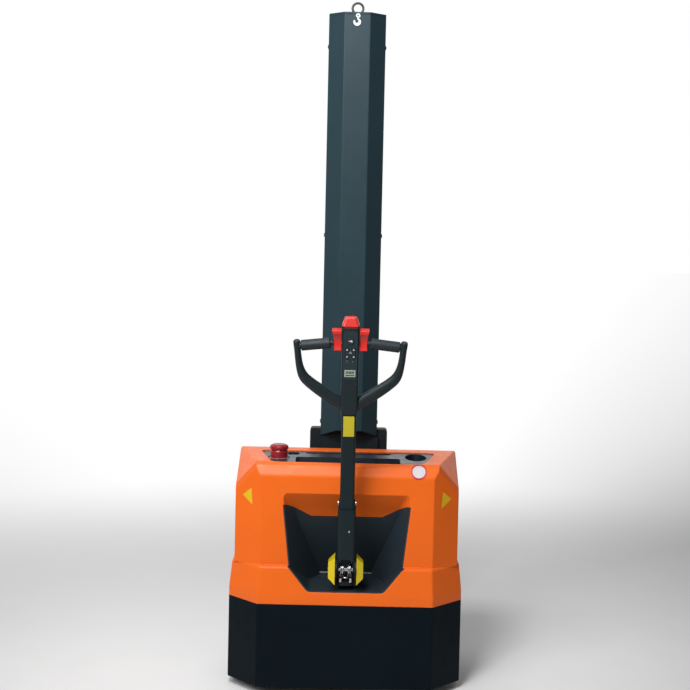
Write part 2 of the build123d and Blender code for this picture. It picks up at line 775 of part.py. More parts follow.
def e_stop_knob():
    with BuildSketch(Plane.XZ) as half:
        with BuildLine():
            Polyline((0, STOP_TOP_Z), (0, STOP_FOOT_Z), (STOP_FOOT_R, STOP_FOOT_Z))
            foot_top = (STOP_FOOT_R, STOP_WAIST_Z - STOP_NECK_TALL)
            Line((STOP_FOOT_R, STOP_FOOT_Z), foot_top)
            Polyline(foot_top, (STOP_WAIST_R, STOP_WAIST_Z), (STOP_CAP_R, STOP_CAP_Z))
            rim_top = (STOP_CAP_R, (STOP_CAP_Z + STOP_TOP_Z) / 2)
            Line((STOP_CAP_R, STOP_CAP_Z), rim_top)
            ThreePointArc(rim_top, (STOP_CAP_R * 0.86, STOP_TOP_Z - 3), (STOP_CAP_R * 0.6, STOP_TOP_Z))
            Line((STOP_CAP_R * 0.6, STOP_TOP_Z), (0, STOP_TOP_Z))
        make_face()
    return Pos(STOP_X, STOP_Y, 0) * revolve(half.sketch, Axis.Z)


# Chassis frame, casters and power pack


def chassis_deck():
    deck = extrude(body_face(SKIRT_WALL + SEAT_GAP, BULKHEAD_FRONT, SKIRT_BEND), DECK_WALL)
    deck = Pos(0, 0, DECK_BOTTOM) * deck
    deck -= post(0, STEER_Y, BEARING_R, DECK_BOTTOM, DECK_TOP)
    for side in SIDES:
        deck -= post(side * CASTER_X, CASTER_Y, CASTER_STEM_R + RUN_GAP, DECK_BOTTOM, DECK_TOP)
    return deck


def chassis_frame():
    half = BULKHEAD_HALF
    plate = block(-half, half, BULKHEAD_FRONT, BULKHEAD_REAR, BULKHEAD_FOOT, BULKHEAD_TOP)
    shelf = block(BATTERY_INNER, half, BATTERY_FRONT, BULKHEAD_FRONT, SHELF_BOTTOM, SHELF_TOP)
    return chassis_deck() + plate + shelf + mirrored(shelf)


def steering_bearing():
    ring = post(0, STEER_Y, BEARING_R + BEARING_WALL, DECK_TOP, BEARING_TOP)
    return ring - post(0, STEER_Y, BEARING_R, DECK_TOP, BEARING_TOP)


def batteries():
    case = block(BATTERY_INNER, BATTERY_OUTER, BATTERY_FRONT, PACK_REAR, DECK_TOP, BATTERY_TOP)
    lid_edges = case.edges().filter_by(lambda e: e.center().Z > BATTERY_TOP - 1)
    case = chamfer(lid_edges, TRAY_WALL)
    middle = (BATTERY_INNER + BATTERY_OUTER) / 2
    for y in (BATTERY_FRONT, PACK_REAR):
        inward = 3 * TERMINAL_R if y == BATTERY_FRONT else -3 * TERMINAL_R
        case += post(middle, y + inward, TERMINAL_R, BATTERY_TOP, BATTERY_TOP + TERMINAL_TALL)
    return both(case)


def oil_tank():
    tank = block(BOX_INNER, BOX_OUTER, TANK_FRONT, PACK_REAR, SHELF_TOP, SHELF_TOP + TANK_TALL)
    tank = fillet(tank.edges().filter_by(Axis.Z), POCKET_ROUND)
    top = SHELF_TOP + TANK_TALL
    middle_x, middle_y = (BOX_INNER + BOX_OUTER) / 2, (TANK_FRONT + PACK_REAR) / 2
    filler = post(middle_x, middle_y, FILLER_R, top, top + FILLER_TALL)
    return tank + filler


def pump_motor():
    motor = post(PUMP_X, PUMP_Y, PUMP_R, SHELF_TOP, SHELF_TOP + PUMP_TALL)
    return fillet(motor.edges().filter_by(lambda e: e.center().Z > SHELF_TOP + 1), POCKET_ROUND)


def motor_controller():
    return block(
        -BOX_OUTER, -BOX_INNER, CONTROLLER_FRONT, PACK_REAR, SHELF_TOP, SHELF_TOP + CONTROLLER_TALL
    )


def caster_fork(side):
    bottom = CASTER_R - CASTER_ARM_HALF
    disc_top = DECK_BOTTOM - RUN_GAP
    disc_bottom = disc_top - CASTER_DISC
    disc = post(0, 0, CASTER_DISC_R, disc_bottom, disc_top)
    stem = post(0, 0, CASTER_STEM_R, disc_top, DECK_TOP)
    inner = CASTER_WIDE / 2 + CASTER_ARM_GAP
    outer = inner + CASTER_ARM
    crown = block(
        -outer,
        outer,
        -CASTER_DISC_R / 2,
        CASTER_TRAIL + CASTER_ARM_HALF,
        disc_bottom - CASTER_ARM,
        disc_bottom,
    )
    arm = block(
        inner, outer, CASTER_TRAIL - CASTER_ARM_HALF, CASTER_TRAIL + CASTER_ARM_HALF, bottom, disc_bottom
    )
    foot = arm.edges().filter_by(Axis.X).filter_by(lambda e: e.center().Z < CASTER_R)
    arm = fillet(foot, CASTER_ARM_HALF * 0.9)
    axle = spindle(-outer, outer, CASTER_TRAIL, CASTER_R, CASTER_AXLE_R)
    return Pos(side * CASTER_X, CASTER_Y, 0) * (disc + stem + crown + arm + mirrored(arm) + axle)


def caster_wheel(side):
    wheel = spindle(-CASTER_WIDE / 2, CASTER_WIDE / 2, CASTER_TRAIL, CASTER_R, CASTER_R)
    wheel = fillet(wheel.edges(), POCKET_ROUND)
    half = CASTER_WIDE / 2
    wheel -= spindle(-half, half, CASTER_TRAIL, CASTER_R, CASTER_AXLE_R + SHAFT_GAP)
    return Pos(side * CASTER_X, CASTER_Y, 0) * wheel


# Drive unit and tiller foot


def drive_gearbox():
    table = post(0, STEER_Y, BEARING_R - RUN_GAP, TURNTABLE_BOTTOM, BEARING_TOP)
    inner = WHEEL_WIDE / 2 + GEARCASE_GAP
    outer = inner + GEARCASE_WIDE
    case = block(inner, outer, STEER_Y - GEARCASE_R, STEER_Y + GEARCASE_R, WHEEL_R, TURNTABLE_BOTTOM)
    case += spindle(inner, outer, STEER_Y, WHEEL_R, GEARCASE_R)
    bore = spindle(inner, inner + AXLE_REACH, STEER_Y, WHEEL_R, AXLE_R + SHAFT_GAP)
    return table + case - bore


def drive_wheel_hub():
    half = WHEEL_WIDE / 2
    hub = spindle(-half, half, STEER_Y, WHEEL_R, WHEEL_R - TYRE_WALL)
    hub -= spindle(-half, -half / 2, STEER_Y, WHEEL_R, (WHEEL_R - TYRE_WALL) * 0.75)
    return hub + spindle(-half / 2, half + GEARCASE_GAP + AXLE_REACH - EASE, STEER_Y, WHEEL_R, AXLE_R)


def drive_wheel_tyre():
    half = WHEEL_WIDE / 2
    tyre = spindle(-half, half, STEER_Y, WHEEL_R, WHEEL_R)
    tyre = fillet(tyre.edges(), TYRE_ROUND)
    return tyre - spindle(-half, half, STEER_Y, WHEEL_R, WHEEL_R - TYRE_WALL)


def drive_motor():
    return post(0, STEER_Y, MOTOR_R, BEARING_TOP, MOTOR_TOP)


def drive_brake():
    return post(0, STEER_Y, BRAKE_R, MOTOR_TOP, BRAKE_TOP)


def tiller_base():
    """Column and cap, with a round-nosed bed and two ears that hold the tiller's pin."""
    column = post(0, STEER_Y, COLUMN_R, BRAKE_TOP, CAP_BOTTOM)
    cap = post(0, STEER_Y, CAP_R, CAP_BOTTOM, CAP_TOP)
    rear = STEER_Y + COLUMN_R
    bed = block(-EAR_OUTER, EAR_OUTER, PIVOT_Y, rear, CAP_TOP, CAP_TOP + BED_TALL)
    bed = fillet(bed.edges().filter_by(Axis.Z).filter_by(lambda e: e.center().Y < STEER_Y), BED_ROUND)
    ear = spindle(EAR_INNER, EAR_OUTER, PIVOT_Y, PIVOT_Z, EAR_R)
    ear += block(EAR_INNER, EAR_OUTER, PIVOT_Y, PIVOT_Y + EAR_R, CAP_TOP, PIVOT_Z)
    base = column + cap + bed + ear + mirrored(ear)
    sweep_room = spindle(-EAR_INNER, EAR_INNER, PIVOT_Y, PIVOT_Z, SPRING_ROOM_R)
    bore = spindle(-EAR_OUTER, EAR_OUTER, PIVOT_Y, PIVOT_Z, PIN_R)
    return base - sweep_room - bore


def tiller_guards():
    def cone(grow, start, stop):
        foot = Rectangle(2 * (GUARD_FOOT_HALF_Y - grow), 2 * (GUARD_FOOT_HALF_Z - grow))
        face = Rectangle(2 * (GUARD_FACE_HALF_Y - grow), 2 * (GUARD_FACE_HALF_Z - grow))
        away = Plane(origin=(start, PIVOT_Y, PIVOT_Z), x_dir=(0, 1, 0), z_dir=(1, 0, 0))
        return loft([away * foot, away.offset(stop - start) * face])

    start, stop = EAR_OUTER, EAR_OUTER + GUARD_DEEP
    cover = cone(0, start, stop) - cone(GUARD_WALL, start, stop - GUARD_WALL)
    return both(cover)


def tiller_pivot_pin():
    return spindle(-EAR_OUTER, EAR_OUTER, PIVOT_Y, PIVOT_Z, PIN_R)


def biarc(p1, t1, p2, t2):
    """Two arcs that leave p1 along t1 and reach p2 along t2."""
    v, t = p2 - p1, t1 + t2
    spread = 2 * (1 - t1.dot(t2))
    d = (-v.dot(t) + math.sqrt(v.dot(t) ** 2 + spread * v.dot(v))) / spread
    q1, q2 = p1 + t1 * d, p2 - t2 * d
    middle = (q1 + q2) * 0.5
    turn = (q2 - q1).normalized()
    return [Edge.make_tangent_arc(p1, t1, middle), Edge.make_tangent_arc(middle, turn, p2)]


def coil_point(angle):
    """Point and direction on the spring's left coil, in the pivot's frame."""
    whole = 2 * math.pi * SPRING_TURNS
    pitch = (SPRING_OUTER_X - SPRING_INNER_X) / whole
    point = Vector(-SPRING_OUTER_X + pitch * angle, SPRING_R * math.cos(angle), -SPRING_R * math.sin(angle))
    along = Vector(pitch, -SPRING_R * math.sin(angle), -SPRING_R * math.cos(angle))
    return point, along.normalized()


def spring_route():
    """Left leg, left coil, bridge, right coil and right leg of the return spring, as one wire."""
    steps = round(SPRING_TURNS * 4)
    stations = [coil_point(2 * math.pi * SPRING_TURNS * i / steps) for i in range(steps + 1)]
    first, first_along = stations[0]
    last, last_along = stations[-1]
    leg = SLEEVE_BOTTOM - RUN_GAP
    edges = [Edge.make_line(first - first_along * leg, first)]
    for (p1, t1), (p2, t2) in zip(stations, stations[1:]):
        edges += biarc(p1, t1, p2, t2)
    front = Vector(0, -SPRING_BRIDGE_Y - SPRING_INNER_X, last.Z)
    edges += biarc(last, last_along, front, Vector(1, 0, 0))
    wire = Wire(edges)
    return Wire([*wire.edges(), *mirrored(wire).edges()])


def least_gap(points, radius, skip):
    """Smallest space between turns of a tube, on points along its route."""
    far = [
        (points[i] - points[j]).length - 2 * radius
        for i in range(len(points))
        for j in range(i + skip, len(points))
    ]
    return min(far)


def tiller_return_spring():
    route = spring_route()
    start = Plane(route.position_at(0), z_dir=route.tangent_at(0))
    count = 400
    points = [route.position_at(i / count) for i in range(count + 1)]
    skip = round(3 * math.pi * SPRING_WIRE_R / route.length * count)
    print("tiller_return_spring least gap", round(least_gap(points, SPRING_WIRE_R, skip), 2))
    return TILLER * sweep(start * Circle(SPRING_WIRE_R), path=route)


# Tiller arm and head, drawn upright from the pivot and then leaned


def tiller_sleeve():
    sleeve = round_box(SLEEVE_WIDE, SLEEVE_DEEP, SLEEVE_BOTTOM, SLEEVE_TOP, SLEEVE_ROUND)
    wide, deep = TUBE_WIDE + 2 * SEAT_GAP, TUBE_DEEP + 2 * SEAT_GAP
    inside = round_box(wide, deep, SLEEVE_BOTTOM, SLEEVE_TOP, TUBE_ROUND + SEAT_GAP)
    inner = LUG_OUTER - LUG_WALL
    lug = spindle(inner, LUG_OUTER, 0, 0, LUG_R)
    lug += block(inner, LUG_OUTER, -LUG_R + RUN_GAP, LUG_R - RUN_GAP, 0, SLEEVE_BOTTOM + LUG_R)
    lug -= spindle(inner, LUG_OUTER, 0, 0, PIN_R + SHAFT_GAP)
    tab = block(TAB_INNER, TAB_OUTER, -TAB_HALF, TAB_HALF, SLEEVE_TOP - TAB_HALF, SLEEVE_TOP + TAB_TALL)
    tab_top = tab.edges().filter_by(Axis.X).filter_by(lambda e: e.center().Z > SLEEVE_TOP)
    tab = fillet(tab_top, TAB_HALF - TAB_WALL)
    sleeve = sleeve + lug + mirrored(lug) + tab + mirrored(tab) - inside
    for side in SIDES:
        sleeve -= bolt_hole(side)
    return TILLER * sleeve


def bolt_hole(side):
    inner = TUBE_WIDE / 2 - TUBE_WALL
    return side_of(spindle(inner, TAB_OUTER, 0, BOLT_S, BOLT_R / 2), side)


def tiller_tube():
    tube = round_box(TUBE_WIDE, TUBE_DEEP, TUBE_BOTTOM, TUBE_TOP, TUBE_ROUND)
    bore_wide, bore_deep = TUBE_WIDE - 2 * TUBE_WALL, TUBE_DEEP - 2 * TUBE_WALL
    tube -= round_box(bore_wide, bore_deep, TUBE_BOTTOM, TUBE_TOP, TUBE_ROUND - TUBE_WALL)
    for side in SIDES:
        tube -= bolt_hole(side)
    return TILLER * tube


def tiller_bolts():
    inner = TUBE_WIDE / 2 - TUBE_WALL
    bolt = spindle(inner, TAB_OUTER, 0, BOLT_S, BOLT_R / 2)
    bolt += spindle(TAB_OUTER, TAB_OUTER + BOLT_HEAD, 0, BOLT_S, BOLT_R)
    return TILLER * both(bolt)


def head_hollow():
    wide, deep = HEAD_WIDE - 2 * HEAD_WALL, HEAD_DEEP - 2 * HEAD_WALL
    hollow = round_box(wide, deep, HEAD_BOTTOM + HEAD_WALL, HEAD_TOP - HEAD_WALL, HEAD_ROUND - HEAD_WALL)
    seat_wide, seat_deep = TUBE_WIDE + 2 * SEAT_GAP, TUBE_DEEP + 2 * SEAT_GAP
    return hollow + round_box(seat_wide, seat_deep, NECK_BOTTOM, HEAD_BOTTOM + HEAD_ROUND, TUBE_ROUND)


def panel_block(gap, front, back):
    """The panel's opening or the panel itself, between two depths."""
    middle = (PANEL_BOTTOM + PANEL_TOP) / 2
    face = RectangleRounded(PANEL_WIDE - 2 * gap, PANEL_TOP - PANEL_BOTTOM - 2 * gap, HEAD_ROUND)
    place = Plane(origin=(0, front, middle), x_dir=(1, 0, 0), z_dir=(0, 1, 0))
    return extrude(place * face, back - front)


def head_outside():
    body = round_box(HEAD_WIDE, HEAD_DEEP, HEAD_BOTTOM, HEAD_TOP, HEAD_ROUND)
    neck_foot = Pos(0, 0, NECK_BOTTOM) * RectangleRounded(NECK_WIDE, NECK_DEEP, HEAD_ROUND)
    neck_top = Pos(0, 0, HEAD_BOTTOM) * RectangleRounded(HEAD_WIDE, HEAD_DEEP, HEAD_ROUND)
    return body + loft([neck_foot, neck_top])


def tiller_head():
    head = head_outside() - head_hollow()
    head -= panel_block(0, PANEL_FACE, PANEL_FACE + PANEL_WALL)
    head -= spindle(-HEAD_WIDE, HEAD_WIDE, 0, GRIP_S, SHAFT_R + SHAFT_GAP)
    stem = BELLY_STEM_HALF + RUN_GAP
    stem_deep = BELLY_DEEP / 2 - HEAD_WALL + RUN_GAP
    head -= block(-stem, stem, -stem_deep, stem_deep, HEAD_TOP - HEAD_WALL, HEAD_TOP)
    return TILLER * head


def control_panel():
    panel = panel_block(SEAT_GAP, PANEL_FACE, PANEL_FACE + PANEL_WALL)
    half = DISPLAY_WIDE / 2
    panel -= block(-half, half, PANEL_FACE, PANEL_FACE + DISPLAY_WALL, DISPLAY_BOTTOM, DISPLAY_TOP)
    panel -= plug(0, PANEL_FACE, PANEL_FACE + PANEL_WALL, HORN_S, HORN_R + RUN_GAP)
    for side in SIDES:
        panel -= side_of(rocker_block(ROCKER_ROOM, PANEL_FACE, PANEL_FACE + PANEL_WALL), side)
    return TILLER * panel


def display_window():
    half = DISPLAY_WIDE / 2 - SEAT_GAP
    low, high = DISPLAY_BOTTOM + SEAT_GAP, DISPLAY_TOP - SEAT_GAP
    return TILLER * block(-half, half, PANEL_FACE, PANEL_FACE + DISPLAY_WALL, low, high)


def horn_button():
    """A key that stands out of the panel, with a flange behind it."""
    behind = PANEL_FACE + PANEL_WALL + RUN_GAP
    cap = plug(0, PANEL_FACE - KEY_STAND, behind, HORN_S, HORN_R)
    cap = fillet(cap.edges().filter_by(lambda e: e.center().Y < PANEL_FACE), KEY_TRAVEL / 2)
    return TILLER * (cap + plug(0, behind, behind + KEY_FLANGE, HORN_S, HORN_R + KEY_FLANGE))


def rocker_block(grow, front, back):
    """Upright pill shape of the right rocker, between two depths."""
    face = SlotOverall(ROCKER_TALL + 2 * grow, ROCKER_WIDE + 2 * grow, rotation=90)
    place = Plane(origin=(ROCKER_X, front, ROCKER_S), x_dir=(1, 0, 0), z_dir=(0, 1, 0))
    return extrude(place * face, back - front)


def rocker_axis_y():
    return PANEL_FACE + PANEL_WALL + RUN_GAP + ROCKER_PIN_R


def lift_rocker(side):
    """A rocker for lift and lower, on a pin behind the panel."""
    axis_y = rocker_axis_y()
    cap = rocker_block(0, PANEL_FACE - KEY_STAND, axis_y)
    cap = fillet(cap.edges().filter_by(lambda e: e.center().Y < PANEL_FACE - KEY_STAND / 2), KEY_TRAVEL / 2)
    pin = spindle(ROCKER_X - ROCKER_PIN_HALF, ROCKER_X + ROCKER_PIN_HALF, axis_y, ROCKER_S, ROCKER_PIN_R)
    return TILLER * side_of(cap + pin, side)


def throttle_paddle():
    half = PADDLE_DEEP / 2
    with BuildSketch(Plane.YZ) as profile:
        with BuildLine():
            Polyline((half, PADDLE_TOP), (-half * 1.4, PADDLE_TOP), (-half * 1.4, PADDLE_TOP - half))
            Spline(
                (-half * 1.4, PADDLE_TOP - half),
                (-half * 0.75, GRIP_S + half * 1.6),
                (-half * 1.1, PADDLE_BOTTOM),
            )
            Polyline((-half * 1.1, PADDLE_BOTTOM), (half, PADDLE_BOTTOM), (half, PADDLE_TOP))
        make_face()
    paddle = Pos(PADDLE_INNER, 0, 0) * extrude(profile.sketch, PADDLE_WIDE)
    paddle = fillet(paddle.edges().filter_by(Axis.X), KEY_STAND)
    return paddle & paddle_front()


def paddle_front():
    """What the paddle keeps when seen from the operator: wide at the top, with a waist below."""
    waist = PADDLE_INNER + PADDLE_WAIST
    with BuildSketch(Plane.XZ) as outline:
        with BuildLine():
            Polyline((PADDLE_OUTER, PADDLE_TOP), (PADDLE_INNER, PADDLE_TOP), (PADDLE_INNER, PADDLE_BOTTOM))
            Line((PADDLE_INNER, PADDLE_BOTTOM), (waist, PADDLE_BOTTOM))
            Spline((waist, PADDLE_BOTTOM), (waist, GRIP_S + SHAFT_R), (PADDLE_OUTER, PADDLE_TOP))
        make_face()
    return extrude(outline.sketch, PADDLE_DEEP, both=True)


def throttle_paddles():
    """Both paddles on their common shaft."""
    reach = GRIP_INNER + SHAFT_SOCKET - RUN_GAP
    right = throttle_paddle()
    return TILLER * (spindle(-reach, reach, 0, GRIP_S, SHAFT_R) + right + mirrored(right))


def grip_place():
    """Frame at the inner end of the right grip, its Z along the grip."""
    return Pos(GRIP_INNER, 0, GRIP_S) * Rot(0, 90 + GRIP_DROOP, 0)


def grip_length():
    return (LOOP_X - GRIP_INNER) / math.cos(math.radians(GRIP_DROOP))


def loop_limb():
    """The bent limb of the right loop, lofted along its middle line."""
    points = [Vector(x, 0, s) for x, s, _ in LOOP_LINE]
    before = [points[0], *points[:-1]]
    after = [*points[1:], points[-1]]
    sections = []
    for point, a, b, (_, _, half) in zip(points, before, after, LOOP_LINE):
        along = (b - a).normalized()
        across = Vector(0, 1, 0).cross(along)
        place = Plane(point, x_dir=across, z_dir=along)
        sections.append(place * Ellipse(half, LOOP_DEEP / 2))
    limb = loft(sections)
    top = limb.faces().sort_by(Axis.Z)[-1]
    return fillet(top.edges(), LOOP_ROUND)


def handle_loop(side):
    length = grip_length()
    bar = grip_place() * Pos(0, 0, length / 2) * Cylinder(GRIP_CORE_R, length)
    loop = (bar + loop_limb()) - head_outside()
    loop -= spindle(0, GRIP_INNER + SHAFT_SOCKET, 0, GRIP_S, SHAFT_R + SHAFT_GAP)
    outside = block(HEAD_WIDE / 2, 2 * LOOP_X, -HEAD_DEEP, HEAD_DEEP, NECK_BOTTOM - HEAD_DEEP, HEAD_TOP)
    return TILLER * side_of(loop & outside, side)


def grip_sleeves():
    loop_half = LOOP_LINE[0][2]
    length = grip_length() - loop_half - EASE - GRIP_NECK
    tube = Cylinder(GRIP_R, length)
    tube = fillet(tube.edges().filter_by(GeomType.CIRCLE), GRIP_ROUND)
    tube -= Cylinder(GRIP_CORE_R + SEAT_GAP / 2, length)
    return TILLER * both(grip_place() * Pos(0, 0, length / 2 + GRIP_NECK) * tube)


def belly_button():
    foot = Pos(0, 0, BELLY_BOTTOM) * RectangleRounded(HEAD_WIDE, BELLY_DEEP, HEAD_ROUND)
    top = BELLY_BOTTOM + BELLY_TALL
    face = Pos(0, 0, top) * RectangleRounded(2 * BELLY_TOP_HALF, BELLY_DEEP / 2, HEAD_ROUND)
    cap = loft([foot, face])
    cap = fillet(cap.edges().filter_by(lambda e: e.center().Z > top - 1), BELLY_ROUND)
    half = BELLY_STEM_HALF
    deep = BELLY_DEEP / 2 - HEAD_WALL
    stem = block(-half, half, -deep, deep, BELLY_BOTTOM - BELLY_STEM_TALL, BELLY_BOTTOM)
    return TILLER * (cap + stem)


# Mast


def mast_face(inset, rear):
    """Outline of the mast in plan, moved in by the inset, with its bends rounded."""
    shift = inset * math.tan(math.pi / 8)
    half = MAST_HALF - inset
    right = [
        (MAST_FACE_HALF - shift, MAST_FRONT + inset),
        (half, MAST_SHOULDER + shift),
        (half, rear),
    ]
    left = [(-x, y) for x, y in reversed(right)]
    face = make_face(Polyline(*right, *left, close=True))
    return fillet(face.vertices().filter_by(lambda v: v.Y < rear - 1), MAST_BEND - inset)


def mast_cover():
    low = COVER_CUT_REAR_Z - STAY_TALL
    outer = extrude(mast_face(0, COVER_REAR), RAIL_TOP - low)
    inner = extrude(mast_face(COVER_WALL, COVER_REAR + COVER_WALL), RAIL_TOP - low)
    cover = Pos(0, 0, low) * (outer - inner)
    cut = [
        (0, MAST_FRONT, COVER_CUT_FRONT_Z),
        (1, MAST_FRONT, COVER_CUT_FRONT_Z),
        (0, MAST_SHOULDER, COVER_CUT_REAR_Z),
    ]
    cover = trimmed(cover, cut, (0, MAST_FRONT, MAST_TOP))
    for side in SIDES:
        for z in SCREW_ZS:
            cover -= side_of(spindle(RAIL_OUTER, MAST_HALF, SCREW_Y, z, SCREW_R), side)
    return cover


def mast_cover_screws():
    screws = []
    for z in SCREW_ZS:
        head = spindle(MAST_HALF, MAST_HALF + SCREW_HEAD, SCREW_Y, z, SCREW_HEAD_R)
        head = fillet(head.edges().filter_by(lambda e: e.center().X > MAST_HALF + 1), SCREW_HEAD / 2)
        screw = head + spindle(RAIL_OUTER, MAST_HALF, SCREW_Y, z, SCREW_R)
        screws += [*screw.solids(), *mirrored(screw).solids()]
    return Compound(children=screws)


def mast_rail(side):
    rail = block(RAIL_INNER, RAIL_OUTER, RAIL_FRONT, RAIL_REAR, BASE_TOP, RAIL_TOP)
    front, rear = RAIL_FRONT + RAIL_FLANGE, RAIL_REAR - RAIL_FLANGE
    rail -= block(RAIL_INNER, RAIL_OUTER - RAIL_WEB, front, rear, BASE_TOP, RAIL_TOP)
    return side_of(rail, side)


def mast_top_plate():
    plate = Pos(0, 0, RAIL_TOP) * extrude(mast_face(0, RAIL_REAR), TOP_PLATE_WALL)
    return plate - post(0, CYLINDER_Y, EYE_WIRE_R * 2, RAIL_TOP, MAST_TOP)


def lifting_eye():
    ring = Pos(0, CYLINDER_Y, EYE_Z) * Rot(90, 0, 0) * Torus(EYE_RING_R, EYE_WIRE_R)
    collar = post(0, CYLINDER_Y, EYE_WIRE_R * 3, MAST_TOP, EYE_Z - EYE_RING_R + EYE_WIRE_R / 2)
    shank = post(0, CYLINDER_Y, EYE_WIRE_R * 2, RAIL_TOP - TOP_PLATE_WALL, MAST_TOP)
    return ring + collar + shank


def mast_foot():
    """Base plate, front plate, two uprights and their stays, welded together."""
    foot = block(-LEG_INNER, LEG_INNER, BULKHEAD_REAR, RAIL_REAR, LEG_BOTTOM, BASE_TOP)
    wide = MAST_HALF + COLLAR_STEP
    narrow = RAIL_OUTER - COVER_WALL
    step_z = COVER_CUT_REAR_Z - COLLAR_STEP
    foot += block(-wide, wide, COLLAR_FRONT, RAIL_FRONT, BASE_TOP, step_z)
    foot += block(-narrow, narrow, COLLAR_FRONT, RAIL_FRONT, step_z, COLLAR_TOP)
    inner = MAST_HALF + SEAT_GAP
    outer = inner + UPRIGHT_WIDE
    upright = block(inner, outer, UPRIGHT_FRONT, UPRIGHT_FRONT + UPRIGHT_DEEP, BASE_TOP, UPRIGHT_TOP)
    top = upright.edges().filter_by(Axis.Y).filter_by(lambda e: e.center().Z > UPRIGHT_TOP - 1)
    upright = fillet(top.filter_by(lambda e: e.center().X > inner + 1), UPRIGHT_ROUND)
    stay = block(outer - STAY_WALL, outer, BULKHEAD_REAR, UPRIGHT_FRONT, STAY_TOP - STAY_TALL, STAY_TOP)
    return foot + upright + stay + mirrored(upright) + mirrored(stay)


def support_leg(side):
    half = LEG_WIDE / 2
    leg = block(LEG_X - half, LEG_X + half, BULKHEAD_REAR, LEG_TIP, LEG_BOTTOM, LEG_TOP)
    tips = leg.edges().filter_by(Axis.Z).filter_by(lambda e: e.center().Y > LEG_TIP - 1)
    leg = chamfer(tips, LEG_WALL * 2)
    reach = LOAD_WHEEL_R + EASE
    hollow_end = LOAD_WHEEL_Y - reach - LEG_WALL
    leg -= block(
        LEG_X - half + LEG_WALL,
        LEG_X + half - LEG_WALL,
        BULKHEAD_REAR,
        hollow_end,
        LEG_BOTTOM + LEG_WALL,
        LEG_TOP - LEG_WALL,
    )
    slot = LOAD_WHEEL_WIDE / 2 + EASE
    leg -= block(LEG_X - slot, LEG_X + slot, LOAD_WHEEL_Y - reach, LOAD_WHEEL_Y + reach, LEG_BOTTOM, LEG_TOP)
    leg -= spindle(LEG_X - half, LEG_X + half, LOAD_WHEEL_Y, LOAD_WHEEL_R, LOAD_AXLE_R)
    return side_of(leg, side)


def load_wheel_axles():
    half = LEG_WIDE / 2
    return both(spindle(LEG_X - half, LEG_X + half, LOAD_WHEEL_Y, LOAD_WHEEL_R, LOAD_AXLE_R))


def load_wheel(side):
    half = LOAD_WHEEL_WIDE / 2
    wheel = spindle(LEG_X - half, LEG_X + half, LOAD_WHEEL_Y, LOAD_WHEEL_R, LOAD_WHEEL_R)
    wheel = fillet(wheel.edges(), LOAD_AXLE_R / 2)
    wheel -= spindle(LEG_X - half, LEG_X + half, LOAD_WHEEL_Y, LOAD_WHEEL_R, LOAD_AXLE_R + SHAFT_GAP)
    return side_of(wheel, side)


# Lift cylinder, chain and fork carriage


def lift_cylinder_barrel():
    """Barrel with its gland and the bracket that holds the fixed end of the chain."""
    front = CHAIN_FRONT_Y - CHAIN_DEEP / 2
    barrel = post(0, CYLINDER_Y, BARREL_R, BASE_TOP, BARREL_TOP)
    barrel += block(-ANCHOR_HALF, ANCHOR_HALF, front, CYLINDER_Y, ANCHOR_Z - ANCHOR_TALL, ANCHOR_Z)
    barrel -= post(0, CYLINDER_Y, BARREL_BORE_R, BASE_TOP + BARREL_PLUG, BARREL_TOP - GLAND_TALL)
    return barrel - post(0, CYLINDER_Y, ROD_R + SHAFT_GAP, BARREL_TOP - GLAND_TALL, BARREL_TOP)


def piston_rod():
    piston_bottom = BASE_TOP + BARREL_PLUG + EASE
    piston = post(0, CYLINDER_Y, BARREL_BORE_R - SHAFT_GAP, piston_bottom, piston_bottom + PISTON_TALL)
    rod = post(0, CYLINDER_Y, ROD_R, piston_bottom, ROD_TOP)
    front, rear = CYLINDER_Y - YOKE_HALF_Y, CYLINDER_Y + YOKE_HALF_Y
    base = block(-YOKE_HALF_X, YOKE_HALF_X, front, rear, ROD_TOP, ROD_TOP + YOKE_BASE)
    inner = SHEAVE_WIDE / 2 + RUN_GAP
    cheek = block(inner, inner + YOKE_CHEEK, front, rear, ROD_TOP, YOKE_TOP)
    axle = spindle(-inner, inner, CYLINDER_Y, SHEAVE_Z, SHEAVE_AXLE_R)
    return piston + rod + base + cheek + mirrored(cheek) + axle


def chain_sheave():
    half = SHEAVE_WIDE / 2
    wheel = spindle(-half, half, CYLINDER_Y, SHEAVE_Z, SHEAVE_FLANGE_R)
    groove_half = half - SHEAVE_FLANGE
    groove = spindle(-groove_half, groove_half, CYLINDER_Y, SHEAVE_Z, SHEAVE_FLANGE_R)
    root = SHEAVE_PITCH_R - CHAIN_DEEP / 2 - RUN_GAP
    groove -= spindle(-groove_half, groove_half, CYLINDER_Y, SHEAVE_Z, root)
    return wheel - groove - spindle(-half, half, CYLINDER_Y, SHEAVE_Z, SHEAVE_AXLE_R + SHAFT_GAP)


def lift_chain():
    half = CHAIN_WIDE / 2
    deep = CHAIN_DEEP / 2
    front = block(-half, half, CHAIN_FRONT_Y - deep, CHAIN_FRONT_Y + deep, ANCHOR_Z, SHEAVE_Z)
    carriage_end = CHAIN_LUG_Z + CHAIN_LUG_TALL
    rear = block(-half, half, CHAIN_REAR_Y - deep, CHAIN_REAR_Y + deep, carriage_end, SHEAVE_Z)
    hoop = spindle(-half, half, CYLINDER_Y, SHEAVE_Z, SHEAVE_PITCH_R + deep)
    hoop -= spindle(-half, half, CYLINDER_Y, SHEAVE_Z, SHEAVE_PITCH_R - deep)
    reach = 2 * SHEAVE_FLANGE_R
    over = hoop & block(-half, half, CYLINDER_Y - reach, CYLINDER_Y + reach, SHEAVE_Z, SHEAVE_Z + reach)
    return front + over + rear


